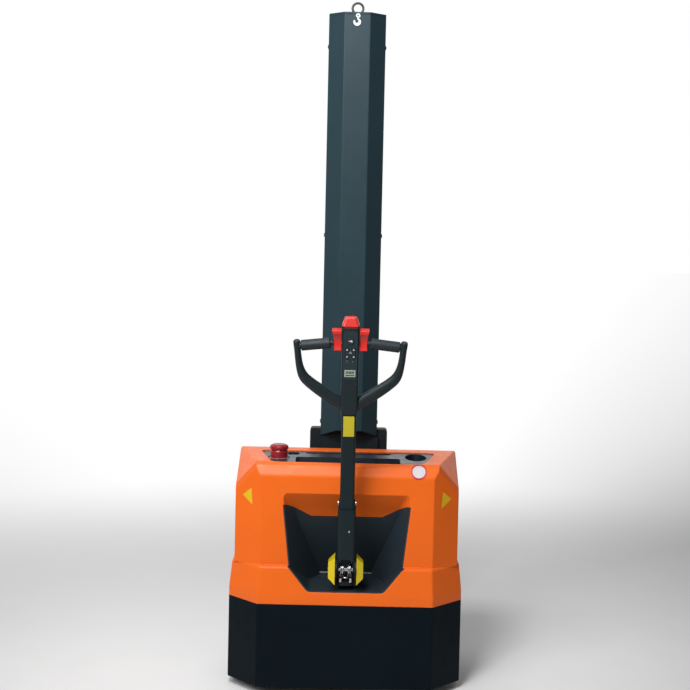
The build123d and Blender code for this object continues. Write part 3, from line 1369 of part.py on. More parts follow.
def fork_carriage():
    cheek = block(CHEEK_X, CHEEK_OUTER, CHEEK_FRONT, BACK_PLATE_FRONT, CARRIAGE_BOTTOM, CARRIAGE_TOP)
    for z in (LOWER_ROLLER_Z, UPPER_ROLLER_Z):
        cheek += spindle(CHEEK_OUTER, ROLLER_INNER + ROLLER_WIDE, ROLLER_Y, z, ROLLER_STUB_R)
    back = block(
        -BACK_PLATE_HALF, BACK_PLATE_HALF, BACK_PLATE_FRONT, BAR_FRONT, CARRIAGE_BOTTOM, CARRIAGE_TOP
    )
    outer = LEG_X + FORK_WIDE / 2
    upper = block(-outer, outer, BAR_FRONT, SHANK_FRONT, UPPER_BAR_BOTTOM, UPPER_BAR_TOP)
    lower = block(-outer, outer, BAR_FRONT, SHANK_FRONT, LOWER_BAR_BOTTOM, LOWER_BAR_TOP)
    lug_front = CHAIN_REAR_Y - CHAIN_DEEP
    lug = block(
        -CHEEK_X, CHEEK_X, lug_front, BACK_PLATE_FRONT, CHAIN_LUG_Z, CHAIN_LUG_Z + CHAIN_LUG_TALL
    )
    return cheek + mirrored(cheek) + back + upper + lower + lug


def rollers(z):
    roller = spindle(ROLLER_INNER, ROLLER_INNER + ROLLER_WIDE, ROLLER_Y, z, ROLLER_R)
    roller = fillet(roller.edges(), ROLLER_ROUND)
    inner, outer = ROLLER_INNER, ROLLER_INNER + ROLLER_WIDE
    roller -= spindle(inner, outer, ROLLER_Y, z, ROLLER_STUB_R + SHAFT_GAP)
    return both(roller)


def fork(side):
    half = FORK_WIDE / 2
    left, right = LEG_X - half, LEG_X + half
    shank_bottom = FORK_TOP - FORK_PLATE
    shank = block(left, right, SHANK_FRONT, FORK_FACE, shank_bottom, UPPER_BAR_TOP)
    blade = block(left, right, SHANK_FRONT, FORK_TIP, FORK_TOP - FORK_SKIRT, FORK_TOP)
    tips = blade.edges().filter_by(Axis.Z).filter_by(lambda e: e.center().Y > FORK_TIP - 1)
    blade = chamfer(tips, FORK_TIP_CUT)
    slope = [
        (0, FORK_TIP - FORK_TIP_RISE, FORK_TOP - FORK_SKIRT),
        (1, FORK_TIP - FORK_TIP_RISE, FORK_TOP - FORK_SKIRT),
        (0, FORK_TIP, FORK_TOP - 2 * FORK_PLATE),
    ]
    blade = trimmed(blade, slope, (0, 0, FORK_TOP))
    blade -= block(
        left + FORK_WALL, right - FORK_WALL, SHANK_FRONT, FORK_TIP - FORK_TIP_RISE, 0, FORK_TOP - FORK_PLATE
    )
    return side_of(shank + blade, side)


def build():
    """Every node by name, in the frame that starts at the skirt."""
    nodes = {
        "chassis_frame": chassis_frame(),
        "front_skirt": front_skirt(),
        "hood": hood(),
        "recess_liner": recess_liner(),
        "storage_tray": storage_tray(),
        "e_stop_base": e_stop_base(),
        "e_stop_knob": e_stop_knob(),
        "steering_bearing": steering_bearing(),
        "batteries": batteries(),
        "oil_tank": oil_tank(),
        "pump_motor": pump_motor(),
        "motor_controller": motor_controller(),
        "drive_gearbox": drive_gearbox(),
        "drive_motor": drive_motor(),
        "drive_brake": drive_brake(),
        "drive_wheel_hub": drive_wheel_hub(),
        "drive_wheel_tyre": drive_wheel_tyre(),
        "tiller_base": tiller_base(),
        "tiller_guards": tiller_guards(),
        "tiller_pivot_pin": tiller_pivot_pin(),
        "tiller_return_spring": tiller_return_spring(),
        "tiller_sleeve": tiller_sleeve(),
        "tiller_tube": tiller_tube(),
        "tiller_bolts": tiller_bolts(),
        "tiller_head": tiller_head(),
        "control_panel": control_panel(),
        "display_window": display_window(),
        "throttle_paddles": throttle_paddles(),
        "grip_sleeves": grip_sleeves(),
        "horn_button": horn_button(),
        "belly_button": belly_button(),
        "mast_cover": mast_cover(),
        "mast_cover_screws": mast_cover_screws(),
        "mast_top_plate": mast_top_plate(),
        "lifting_eye": lifting_eye(),
        "mast_foot": mast_foot(),
        "load_wheel_axles": load_wheel_axles(),
        "lift_cylinder_barrel": lift_cylinder_barrel(),
        "piston_rod": piston_rod(),
        "chain_sheave": chain_sheave(),
        "lift_chain": lift_chain(),
        "fork_carriage": fork_carriage(),
        "lower_rollers": rollers(LOWER_ROLLER_Z),
        "upper_rollers": rollers(UPPER_ROLLER_Z),
    }
    pairs = {
        "lift_rocker": lift_rocker,
        "handle_loop": handle_loop,
        "mast_rail": mast_rail,
        "support_leg": support_leg,
        "load_wheel": load_wheel,
        "fork": fork,
        "caster_fork": caster_fork,
        "caster_wheel": caster_wheel,
    }
    for name, make in pairs.items():
        for side, word in zip(SIDES, ("left", "right")):
            nodes[name + "_" + word] = make(side)
    return nodes


NODES = build()
BOX = Compound(children=[solid for shape in NODES.values() for solid in shape.solids()]).bounding_box()
ORIGIN_Y = (BOX.min.Y + BOX.max.Y) / 2

for name, shape in NODES.items():
    export_step(Pos(0, -ORIGIN_Y, 0) * shape, "parts/" + name + ".step")
print("nodes", len(NODES), "origin at Y", round(ORIGIN_Y, 3), "size", BOX.size)
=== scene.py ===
import math

import bmesh
import bpy
from mathutils import Matrix, Vector
from mathutils.bvhtree import BVHTree


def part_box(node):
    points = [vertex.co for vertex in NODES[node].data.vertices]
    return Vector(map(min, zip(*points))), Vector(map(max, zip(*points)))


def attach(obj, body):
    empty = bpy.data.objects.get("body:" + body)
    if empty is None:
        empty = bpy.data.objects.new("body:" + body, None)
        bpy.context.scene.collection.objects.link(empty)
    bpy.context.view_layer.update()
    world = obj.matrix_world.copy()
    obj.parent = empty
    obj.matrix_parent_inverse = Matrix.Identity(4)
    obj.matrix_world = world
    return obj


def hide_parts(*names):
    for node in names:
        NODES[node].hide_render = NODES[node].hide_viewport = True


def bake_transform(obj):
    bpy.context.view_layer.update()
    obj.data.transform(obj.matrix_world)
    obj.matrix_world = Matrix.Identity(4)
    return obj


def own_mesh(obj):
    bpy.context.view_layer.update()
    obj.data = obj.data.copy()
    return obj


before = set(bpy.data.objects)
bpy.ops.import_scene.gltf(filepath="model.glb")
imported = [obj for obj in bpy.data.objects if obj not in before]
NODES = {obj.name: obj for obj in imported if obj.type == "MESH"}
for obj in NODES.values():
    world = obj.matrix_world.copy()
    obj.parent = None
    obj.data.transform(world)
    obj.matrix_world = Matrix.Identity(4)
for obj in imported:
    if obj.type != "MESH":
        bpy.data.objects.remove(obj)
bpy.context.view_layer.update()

# Places are in millimetres, with Y counted from the skirt's front, unless a comment says otherwise
MM = 0.001
SKIRT_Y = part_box("front_skirt")[0].y

# Directions: forward runs from the operator to the forks
FORWARD = (0, 1, 0)
BACKWARD = (0, -1, 0)
UP = (0, 0, 1)
DOWN = (0, 0, -1)
SIDES = (-1, 1)
SIDE_NAMES = ("left", "right")

# The tiller's own axes: Z runs along it from the pivot
LEAN = math.radians(14)
PIVOT_Y = 10
PIVOT_Z = 433
PIVOT = Vector((0, SKIRT_Y + PIVOT_Y * MM, PIVOT_Z * MM))
TILLER = Matrix.Translation(PIVOT) @ Matrix.Rotation(LEAN, 4, "X")
TILLER_LOOK_Y = -100

# Camera, solved from the photograph: metres back from the skirt and up, pixels of a picture of 690 by 690
CAMERA_BACK = 4.400
CAMERA_HIGH = 1.612
FOCAL_PIXELS = 1320.8
PICTURE = 690
SENSOR = 36
PITCH = math.radians(2.294)
ROLL = math.radians(1.271)
AXIS_RIGHT = 7.16
AXIS_UP = 72.98
CLIP_END = 200

# Stage, in metres: the floor turns into the studio's light with the distance
FLOOR_Z = 0.0
FLOOR_SIZE = 80
FLOOR_GREY = 0.70
FLOOR_FADE = (0.7, 3.2)

# Studio light, as (place, grey) stops from the operator's side to the back, and from left to right
STUDIO_DEPTH = ((0.50, 0.30), (0.95, 1.0))
STUDIO_ACROSS = ((0.62, 1.0), (0.88, 0.45))

# Lamps: name, place and target in metres with Y counted from the skirt's front, size and watts
STUDIO_LAMPS = (
    ("key", (-1.8, -2.9, 3.0), (0, 0.2, 0.6), 2.2, 110),
    ("top", (-0.4, 0.2, 3.8), (0, 0.2, 0.6), 1.2, 15),
    ("mast", (-0.6, -2.0, 3.3), (0, 0.4, 2.5), 0.8, 90),
)

# Pattern of every finish: detail of its noises and the part of their range that shows
CLOUD_DETAIL = 5
CLOUD_STOPS = (0.3, 0.7)
SMEAR_FINER = 7
SMEAR_DETAIL = 6
SMEAR_STOPS = (0.25, 0.75)
PORE_DETAIL = 3
SOFT_RAYS = 6

# Width of the eased edges in millimetres, and the gaps in metres within which points become one
EASE = 0.6
EASE_STEPS = 2
EASE_ANGLE = math.radians(28)
WELD_GAP = 1e-5
SAME_PLACE = 1e-6

# Eased edges of single solids
EASES = {
    "hood": 3.0, "front_skirt": 0.9, "mast_foot": 2.0, "chassis_frame": 1.5, "fork_left": 2.0,
    "fork_right": 2.0, "fork_carriage": 2.0, "support_leg_left": 2.0, "support_leg_right": 2.0,
    "mast_top_plate": 1.5, "mast_rail_left": 1.5, "mast_rail_right": 1.5, "mast_cover": 0.9,
    "tiller_base": 2.0, "tiller_guards": 1.6, "throttle_paddles": 1.6, "storage_tray": 1.0,
    "recess_liner": 1.0, "batteries": 3.0, "oil_tank": 2.0,
}

# Blank plates on the hood, the tiller and the mast
PLATE_LIFT = 0.15
PLATE_WALL = 0.25
PLATE_RINGS = 8
PLATE_LOOK = 200
INTO_BROW = (0, 0.89, -0.455)
DISC = (241, 39, 762)
DISC_R = 27.5
DISC_RIM = 0.80
TRIANGLE = ((323.5, 698), (358.5, 665), (319, 632))
TRIANGLE_ROUND = 3
TRIANGLE_GAP = 4
LABEL_WIDE = 37.6
LABEL_S = (489, 562)
LABEL_ROUND = 2
LABEL_EASE = 0.08

# Hook mark below the mast's top
HOOK_DROP = 26.5
HOOK_X = -2.5
HOOK_R = 9.8
HOOK_HALF = 5.2
HOOK_TIP_HALF = 2.4
HOOK_FROM = math.radians(75)
HOOK_SWEEP = math.radians(285)
HOOK_STEPS = 24
HOOK_EYE = (4, 21.5)
HOOK_EYE_R = 8
HOOK_HOLE_R = 3
HOOK_STEM_IN = 1

# Bolt heads: the usual one, then shares of its width across flats, and of its washer for WASHER_EDGE
BOLT_ACROSS = 13
BOLT_TALL = 7
HEXAGON_R = 0.577
WASHER_TALL = 0.14
WASHER_R = 0.72
WASHER_EDGE = 0.7
WASHER_TOP_R = 0.66
CHAMFER_R = (0.47, 0.40)
CHAMFER_TALL = 0.06

# Socket screws: (radius, height) shares of the head, and the usual head
SOCKET_HEAD = ((1, 0), (1, 0.7), (0.85, 1), (0.52, 1), (0.46, 0.35))
SCREW_R = 6
SCREW_TALL = 3

# Marks and small fittings of the tiller, by their place along it
SEAM_S = 645
SEAM_WALL = 1.2
SEAM_PROUD = 0.25
HEAD_HALF = (28, 22)
HEAD_ROUND = 9
HEAD_SCREW_S = 672
HEAD_SCREW_X = 18.6
HEAD_SCREW_R = 3.6
SLEEVE_SCREW = (9, 150)
SLEEVE_SCREW_R = 3.2
FLAT_SCREW_TALL = 0.9
LAMP_S = 750
LAMP_X = 9
LAMP_LENS = ((3, 0), (3, 0.4), (2.1, 0.7), (0.1, 0.8))
MARK_RISE = 12
ARROW = 3.2
ARROW_BASE = 0.6
BUGLE = ((-6, -1.2), (-1, -1.4), (5.5, -4), (5.5, 4), (-1, 1.4), (-6, 1.2))
CHEVRON = ((-3.6, -1), (0, 1.4), (3.6, -1), (3.6, 0.4), (0, 2.8), (-3.6, 0.4))
CHEVRON_RISES = (-2, 2)
GRIP_S = 806
COLLAR_X = 53.4
COLLAR_R = 9
COLLAR_LONG = 12.4
COLLAR_CHAMFER = 1

# Charge gauge on the display, as shares of its width and height
GAUGE_BARS = 6
GAUGE_HALF = 0.40
GAUGE_BAR_SHIFT = 0.15
GAUGE_BAR_WIDE = 0.09
GAUGE_BAR_Z = (-0.05, 0.32)
GAUGE_BASE_Z = (-0.34, -0.20)
GAUGE_WALL = 0.12

# Lift chain
CHAIN_RADIUS = 45
CHAIN_ANCHOR_Z = 878
LINKS_OVER = 9
CHAIN_PITCH = math.pi * CHAIN_RADIUS / LINKS_OVER
CHAIN_PLATES = 4
CHAIN_HALF = 6
CHAIN_PIN_R = 2.2
CHAIN_PIN_STEPS = 10
LINK_END_R = 5
LINK_END_FROM = math.radians(-35)
LINK_END_SWEEP = math.radians(250)
LINK_END_STEPS = 8
LINK_FILL = 0.86

# Fittings of the foot, the recess and the tray
FOOT_BOLT_X = 17
FOOT_BOLT_Y = (14, 34)
FOOT_BOLT_TOP = 412
FOOT_BOLT_ACROSS = 11
FOOT_BOLT_TALL = 12
FOOT_BOLT_EASE = 0.3
LINER_STEP_HALF = 118
LINER_STEP_Z = 364
LINER_STEP_R = 4.5
LINER_LOOK = (60, 100)
TRAY_RIBS = 6
TRAY_RIB_Y = (90, 162)
TRAY_RIB_HALF = (160, 1.5)
TRAY_RIB_ROUND = 1.4
TRAY_RIB_TALL = 1.6
TRAY_RIB_EASE = 0.4
TRAY_LOOK_Z = 790

# Fittings at the back and below
HATCH_X = (165, 350)
HATCH_Z = (330, 715)
HATCH_WALL = 2
HATCH_ROUND = 14
HATCH_EASE = 0.5
HATCH_LOOK_Y = 500
CARRIAGE_BOLT_X = 75
CARRIAGE_BOLT_Z = (170, 400)
CARRIAGE_BOLT_EASE = 0.4
CARRIAGE_LOOK_Y = 1000
TOP_SCREW_X = 62
TOP_SCREW_Y = (400, 480)
TOP_LOOK = 20
AXLE_LOOK = 120
AXLE_CAP = ((12, 0), (12, 1.5), (10.5, 2.5), (1, 2.8))
CASTER_NUT_EASE = 0.3

# Beads of weld metal
BEAD_R = 4
BEAD_STEP = 3
BEAD_SIDES = 10
BEAD_RIPPLE = 0.12
WELD_LOOK = 100
WELD_LOOK_IN = 50


def at(x, y, z):
    """A place given in millimetres, with Y counted from the skirt's front."""
    return Vector((x * MM, SKIRT_Y + y * MM, z * MM))


def middle_of(name):
    """The middle of a solid's box."""
    return sum(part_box(name), Vector()) / 2


# Material helpers


def node(tree, kind, inputs=None, **settings):
    """A new shader node with its settings, values and links."""
    made = tree.nodes.new(kind)
    for key, value in settings.items():
        setattr(made, key, value)
    for key, value in (inputs or {}).items():
        if isinstance(value, bpy.types.NodeSocket):
            tree.links.new(value, made.inputs[key])
        else:
            made.inputs[key].default_value = value
    return made


def ramp(tree, factor, stops):
    """A colour ramp over (place, colour) stops."""
    made = node(tree, "ShaderNodeValToRGB", {"Fac": factor})
    made.color_ramp.elements[0].position = stops[0][0]
    made.color_ramp.elements[1].position = stops[-1][0]
    for place, _ in stops[1:-1]:
        made.color_ramp.elements.new(place)
    for element, (_, colour) in zip(made.color_ramp.elements, stops):
        element.color = colour
    return made.outputs["Color"]


def shade(colour, factor):
    """A colour made lighter or darker."""
    return tuple(min(1, max(0, c * factor)) for c in colour[:3]) + (1,)


def grey(value):
    """A grey between black, 0, and white, 1."""
    return (value, value, value, 1)


def srgb(red, green, blue):
    """A colour as read off a screen, in the renderer's linear values."""
    def linear(value):
        value = value / 255
        return value / 12.92 if value <= 0.04045 else ((value + 0.055) / 1.055) ** 2.4
    return (linear(red), linear(green), linear(blue), 1)


def noise(tree, scale, detail, stretch=(1, 1, 1)):
    """A noise over the object's own coordinates, stretched along each axis."""
    place = node(tree, "ShaderNodeTexCoord").outputs["Object"]
    spread = node(tree, "ShaderNodeMapping", {"Vector": place, "Scale": stretch}).outputs["Vector"]
    made = node(tree, "ShaderNodeTexNoise", {"Vector": spread, "Scale": scale, "Detail": detail})
    return made.outputs["Fac"]


def surface(
    name, colour, rough, metallic=0.0, tone=0.08, tone_scale=5, spread=0.08, grain=900, relief=0.05,
    depth=0.0002, coat=0.0, stretch=(1, 1, 1), specular=0.5, soft=0.0,
):
    """A procedural finish: clouded colour, uneven gloss, a fine relief, and edges softened by a radius."""
    made = bpy.data.materials.new(name)
    made.use_nodes = True
    tree = made.node_tree
    bsdf = tree.nodes["Principled BSDF"]
    cloud = noise(tree, tone_scale, CLOUD_DETAIL)
    tones = [shade(colour, 1 - tone), shade(colour, 1 + tone)]
    tree.links.new(ramp(tree, cloud, list(zip(CLOUD_STOPS, tones))), bsdf.inputs["Base Color"])
    smear = noise(tree, tone_scale * SMEAR_FINER, SMEAR_DETAIL, stretch)
    glosses = [grey(max(0, rough - spread)), grey(min(1, rough + spread))]
    tree.links.new(ramp(tree, smear, list(zip(SMEAR_STOPS, glosses))), bsdf.inputs["Roughness"])
    pores = noise(tree, grain, PORE_DETAIL, stretch)
    bump = node(tree, "ShaderNodeBump", {"Height": pores, "Strength": relief, "Distance": depth})
    if soft:
        rounding = node(tree, "ShaderNodeBevel", {"Radius": soft}, samples=SOFT_RAYS)
        tree.links.new(rounding.outputs["Normal"], bump.inputs["Normal"])
    tree.links.new(bump.outputs["Normal"], bsdf.inputs["Normal"])
    bsdf.inputs["Metallic"].default_value = metallic
    bsdf.inputs["Coat Weight"].default_value = coat
    bsdf.inputs["Specular IOR Level"].default_value = specular
    return made


# Finishes

ORANGE = surface(
    "orange_paint", srgb(220, 97, 24), 0.36, tone=0.03, grain=1400, relief=0.05, specular=0.2, soft=0.005
)
SKIRT_PAINT = surface(
    "black_skirt", srgb(8, 18, 24), 0.50, tone=0.12, grain=1200, relief=0.10, specular=0.06
)
MAST_PAINT = surface(
    "grey_mast_paint", srgb(31, 49, 56), 0.42, tone=0.06, grain=1300, relief=0.08, specular=0.18, soft=0.004
)
FRAME_PAINT = surface(
    "black_frame_paint", srgb(19, 27, 30), 0.48, tone=0.12, grain=1000, relief=0.12, specular=0.2
)
FORK_PAINT = surface("fork_paint", srgb(38, 44, 47), 0.46, tone=0.14, grain=900, relief=0.14, specular=0.3)
LINER = surface("liner_plastic", srgb(34, 45, 52), 0.52, tone=0.06, grain=2600, relief=0.25, specular=0.3)
TRAY = surface("tray_plastic", srgb(25, 36, 47), 0.36, tone=0.06, grain=2600, relief=0.20, specular=0.85)
TILLER_PAINT = surface(
    "tiller_paint", srgb(21, 34, 37), 0.42, tone=0.06, grain=1500, relief=0.10, specular=0.16
)
HEAD_PLASTIC = surface(
    "head_plastic", srgb(20, 31, 34), 0.46, tone=0.05, grain=2400, relief=0.25, specular=0.3
)
PANEL_PLASTIC = surface(
    "panel_plastic", srgb(34, 48, 51), 0.42, tone=0.05, grain=2600, relief=0.10, specular=0.22
)
KEY_RUBBER = surface("key_rubber", srgb(32, 39, 42), 0.62, tone=0.06, grain=3000, relief=0.2, specular=0.3)
GRIP_RUBBER = surface(
    "grip_rubber", srgb(18, 30, 34), 0.58, tone=0.08, grain=2200, relief=0.4, specular=0.42
)
PADDLE_RED = surface("paddle_red", srgb(198, 34, 28), 0.36, tone=0.05, grain=2400, relief=0.12)
BELLY_RED = surface("belly_red", srgb(194, 42, 36), 0.36, tone=0.05, grain=2400, relief=0.12)
STOP_RED = surface("stop_red", srgb(136, 18, 30), 0.30, tone=0.06, grain=2400, relief=0.08)
STOP_RING = surface("stop_ring", srgb(150, 150, 150), 0.45, tone=0.04, grain=2400, relief=0.15)
YELLOW = surface("guard_yellow", srgb(198, 176, 10), 0.36, tone=0.05, grain=2200, relief=0.12)
SIGN_YELLOW = surface("sign_yellow", srgb(206, 168, 6), 0.40, tone=0.03, grain=2000, relief=0.04)
LABEL_YELLOW = surface("label_yellow", srgb(184, 168, 24), 0.42, tone=0.04, grain=2000, relief=0.04)
PLATE_WHITE = surface("plate_white", srgb(188, 184, 188), 0.40, tone=0.02, grain=2000, relief=0.04)
PLATE_RED = surface("plate_red", srgb(178, 30, 40), 0.40, tone=0.03, grain=2000, relief=0.04)
# Light grey of the liner's step, far lighter than the liner itself: a painted highlight along the foot of
# the recess's back wall
STEP_PAINTED_HIGHLIGHT = surface("step_painted_highlight", srgb(84, 93, 100), 0.42, tone=0.05, grain=2000, relief=0.1)
MARK_WHITE = surface("mark_white", srgb(190, 196, 196), 0.55, tone=0.03, grain=2000, relief=0.04)
SEAM_DARK = surface("seam_dark", srgb(9, 12, 14), 0.60, tone=0.05, grain=2000, relief=0.1, specular=0.1)
SCREEN = surface("display_screen", srgb(152, 160, 148), 0.14, tone=0.06, grain=900, relief=0.0, coat=0.5)
SCREEN_INK = surface("display_ink", srgb(34, 44, 38), 0.30, tone=0.05, grain=900, relief=0.02)
LENS = surface("lamp_lens", srgb(52, 58, 60), 0.12, tone=0.05, grain=900, relief=0.0, coat=0.6)
STEEL = surface(
    "bright_steel", srgb(190, 191, 194), 0.26, metallic=1.0, tone=0.06, grain=500, relief=0.08,
    stretch=(1, 1, 0.05),
)
GROUND_STEEL = surface(
    "ground_steel", srgb(140, 141, 144), 0.34, metallic=1.0, tone=0.12, grain=700, relief=0.1
)
CHAIN_STEEL = surface("chain_steel", srgb(96, 94, 92), 0.40, metallic=1.0, tone=0.20, grain=500, relief=0.15)
BOLT_STEEL = surface("bolt_steel", srgb(58, 60, 62), 0.38, metallic=0.8, tone=0.12, grain=800, relief=0.12)
CYLINDER_PAINT = surface("cylinder_paint", srgb(24, 26, 28), 0.32, tone=0.06, grain=1200, relief=0.06)
CASTING = surface(
    "gear_casting", srgb(84, 86, 88), 0.60, metallic=0.4, tone=0.15, grain=400, relief=0.5, depth=0.0005
)
MOTOR_PAINT = surface("motor_paint", srgb(52, 55, 58), 0.45, tone=0.08, grain=900, relief=0.12)
TREAD = surface("wheel_tread", srgb(30, 30, 31), 0.70, tone=0.10, grain=1200, relief=0.35)
POLYURETHANE = surface("roller_tread", srgb(140, 96, 48), 0.48, tone=0.10, grain=1400, relief=0.15)
BATTERY = surface("battery_case", srgb(36, 38, 41), 0.52, tone=0.06, grain=2000, relief=0.2)
TANK = surface("tank_plastic", srgb(186, 182, 168), 0.48, tone=0.05, grain=1800, relief=0.15)
HEATSINK = surface(
    "controller_case", srgb(150, 152, 155), 0.36, metallic=0.9, tone=0.06, grain=900, relief=0.1
)

FINISH = {
    ORANGE: ["hood"],
    SKIRT_PAINT: ["front_skirt"],
    MAST_PAINT: ["mast_cover", "mast_top_plate"],
    FRAME_PAINT: ["chassis_frame", "mast_foot", "caster_fork_left", "caster_fork_right", "tiller_base"],
    FORK_PAINT: [
        "support_leg_left", "support_leg_right", "fork_carriage", "fork_left", "fork_right",
        "mast_rail_left", "mast_rail_right",
    ],
    LINER: ["recess_liner"],
    TRAY: ["storage_tray"],
    TILLER_PAINT: ["tiller_sleeve", "tiller_tube"],
    HEAD_PLASTIC: ["tiller_head", "handle_loop_left", "handle_loop_right"],
    PANEL_PLASTIC: ["control_panel"],
    KEY_RUBBER: ["horn_button", "lift_rocker_left", "lift_rocker_right"],
    GRIP_RUBBER: ["grip_sleeves"],
    PADDLE_RED: ["throttle_paddles"],
    BELLY_RED: ["belly_button"],
    STOP_RED: ["e_stop_knob"],
    STOP_RING: ["e_stop_base"],
    YELLOW: ["tiller_guards"],
    SCREEN: ["display_window"],
    STEEL: [
        "tiller_pivot_pin", "tiller_return_spring", "tiller_bolts", "load_wheel_axles", "piston_rod",
        "steering_bearing",
    ],
    BOLT_STEEL: ["mast_cover_screws", "lifting_eye"],
    GROUND_STEEL: ["lower_rollers", "upper_rollers"],
    CHAIN_STEEL: ["lift_chain", "chain_sheave"],
    CYLINDER_PAINT: ["lift_cylinder_barrel"],
    CASTING: ["drive_gearbox", "drive_wheel_hub"],
    MOTOR_PAINT: ["drive_motor", "drive_brake", "pump_motor"],
    TREAD: ["drive_wheel_tyre"],
    POLYURETHANE: ["load_wheel_left", "load_wheel_right", "caster_wheel_left", "caster_wheel_right"],
    BATTERY: ["batteries"],
    TANK: ["oil_tank"],
    HEATSINK: ["motor_controller"],
}


def ease_edges(made, width):
    """Smooth shading, and small rounded edges of a width in millimetres."""
    for polygon in made.data.polygons:
        polygon.use_smooth = True
    if width:
        ease = made.modifiers.new("ease", "BEVEL")
        ease.width = width * MM
        ease.segments = EASE_STEPS
        ease.limit_method = "ANGLE"
        ease.angle_limit = EASE_ANGLE
    made.modifiers.new("even", "WEIGHTED_NORMAL").keep_sharp = True


def dress(name, material):
    """Finish a solid: its material and eased edges."""
    solid = NODES[name]
    solid.data.materials.clear()
    solid.data.materials.append(material)
    solid.modifiers.new("weld", "WELD").merge_threshold = WELD_GAP
    ease_edges(solid, EASES.get(name, EASE))


for finish, names in FINISH.items():
    for each in names:
        dress(each, finish)


# Mesh helpers: outlines and profiles are in millimetres


def around(count):
    """Angles of points spread evenly around a circle."""
    return [2 * math.pi * i / count for i in range(count)]


def circle(radius, count=48):
    """A round outline, or a regular one of few corners."""
    return [(radius * math.cos(a), radius * math.sin(a)) for a in around(count)]


def rounded(corners, radius, steps=5):
    """An outline with its corners rounded by arcs."""
    outline = []
    count = len(corners)
    for i in range(count):
        before, here, after = (Vector(corners[(i + k) % count]) for k in (-1, 0, 1))
        to_before = (before - here).normalized()
        to_after = (after - here).normalized()
        half = to_before.angle(to_after) / 2
        middle = here + (to_before + to_after).normalized() * (radius / math.sin(half))
        first = here + to_before * (radius / math.tan(half)) - middle
        last = here + to_after * (radius / math.tan(half)) - middle
        for k in range(steps + 1):
            arm = first.slerp(last, k / steps)
            outline.append(tuple(middle + arm))
    return outline


def rectangle(left, right, low, high):
    """An outline with four square corners."""
    return [(left, low), (right, low), (right, high), (left, high)]


def dense(outline, gap):
    """An outline with extra points, so that no side is much longer than the gap."""
    made = []
    for a, b in zip(outline, outline[1:] + outline[:1]):
        count = max(1, round((Vector(b) - Vector(a)).length / gap))
        made += [tuple(Vector(a).lerp(Vector(b), k / count)) for k in range(count)]
    return made


def ribbon(points, halves):
    """An outline along a line of points, with half a width at each."""
    left, right = [], []
    for i, (place, half) in enumerate(zip(points, halves)):
        before, after = points[max(0, i - 1)], points[min(len(points) - 1, i + 1)]
        side = (after - before).orthogonal().normalized() * half
        left.append(tuple(place + side))
        right.append(tuple(place - side))
    return left + right[::-1]


def bridge(mesh, rows):
    """Faces between closed rows of points, from each row to the next."""
    for low, high in zip(rows, rows[1:]):
        for i in range(len(low)):
            k = (i + 1) % len(low)
            mesh.faces.new((low[i], low[k], high[k], high[i]))


def cap(mesh, rows):
    """Faces over the first row and the last."""
    mesh.faces.new(rows[0][::-1])
    mesh.faces.new(rows[-1])


def turned(mesh, profile, matrix, steps):
    """Rows of points: (radius, height) points turned about the matrix's Z."""
    rows = []
    for radius, height in profile:
        places = [Vector((radius * math.cos(a), radius * math.sin(a), height)) * MM for a in around(steps)]
        rows.append([mesh.verts.new(matrix @ place) for place in places])
    return rows


def add_lathe(mesh, profile, matrix, steps=28):
    """(radius, height) points turned about the matrix's Z, with flat ends."""
    rows = turned(mesh, profile, matrix, steps)
    bridge(mesh, rows)
    cap(mesh, rows)


def add_ring(mesh, profile, matrix, steps=28):
    """A closed (radius, height) profile turned about the matrix's Z."""
    rows = turned(mesh, profile, matrix, steps)
    bridge(mesh, rows + rows[:1])


def add_prism(mesh, outline, thick, matrix):
    """An outline raised along the matrix's Z."""
    face = mesh.faces.new([mesh.verts.new((x * MM, y * MM, 0)) for x, y in outline])
    raised = bmesh.ops.extrude_face_region(mesh, geom=[face])["geom"]
    top = [v for v in raised if isinstance(v, bmesh.types.BMVert)]
    bmesh.ops.translate(mesh, verts=top, vec=(0, 0, thick * MM))
    bmesh.ops.transform(mesh, matrix=matrix, verts=[*face.verts, *top])


def add_bead(mesh, start, stop, radius, ripple):
    """A bead along a straight line, rippled as weld metal is or smooth."""
    along = (stop - start).normalized()
    across = along.orthogonal().normalized()
    up = along.cross(across)
    count = max(2, round((stop - start).length / (BEAD_STEP * MM)))
    rows = []
    for i in range(count + 1):
        swell = radius * (1 + ripple * math.cos(math.pi * i)) * MM
        middle = start.lerp(stop, i / count)
        arms = [(across * math.cos(a) + up * math.sin(a)) * swell for a in around(BEAD_SIDES)]
        rows.append([mesh.verts.new(middle + arm) for arm in arms])
    bridge(mesh, rows)
    cap(mesh, rows)


def add_bolt(mesh, matrix, across=BOLT_ACROSS, tall=BOLT_TALL):
    """Hexagon head with a chamfered top, on a washer."""
    washer = across * WASHER_TALL
    edge = across * WASHER_R
    add_lathe(mesh, [(edge, 0), (edge, washer * WASHER_EDGE), (across * WASHER_TOP_R, washer)], matrix)
    on_washer = matrix @ Matrix.Translation((0, 0, washer * MM))
    add_prism(mesh, circle(across * HEXAGON_R, 6), tall - washer, on_washer)
    low, high = CHAMFER_R
    add_lathe(mesh, [(across * low, tall), (across * high, tall + across * CHAMFER_TALL)], matrix)


def add_socket_screw(mesh, matrix, radius=SCREW_R, tall=SCREW_TALL):
    """Round head with a sunk socket."""
    add_lathe(mesh, [(radius * wide, tall * high) for wide, high in SOCKET_HEAD], matrix)


def piece(name, mesh, body, material, ease=0.0):
    """Turn a mesh under construction into a piece that rides on a body."""
    bmesh.ops.recalc_face_normals(mesh, faces=mesh.faces)
    data = bpy.data.meshes.new(name)
    mesh.to_mesh(data)
    mesh.free()
    data.materials.append(material)
    made = bpy.data.objects.new(name, data)
    bpy.context.scene.collection.objects.link(made)
    ease_edges(made, ease)
    if body:
        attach(made, body)
    return made


# Seats on the solids


def skin(name):
    """The surface of a solid, for placing things on it."""
    data = NODES[name].data
    return BVHTree.FromPolygons([v.co for v in data.vertices], [p.vertices for p in data.polygons])


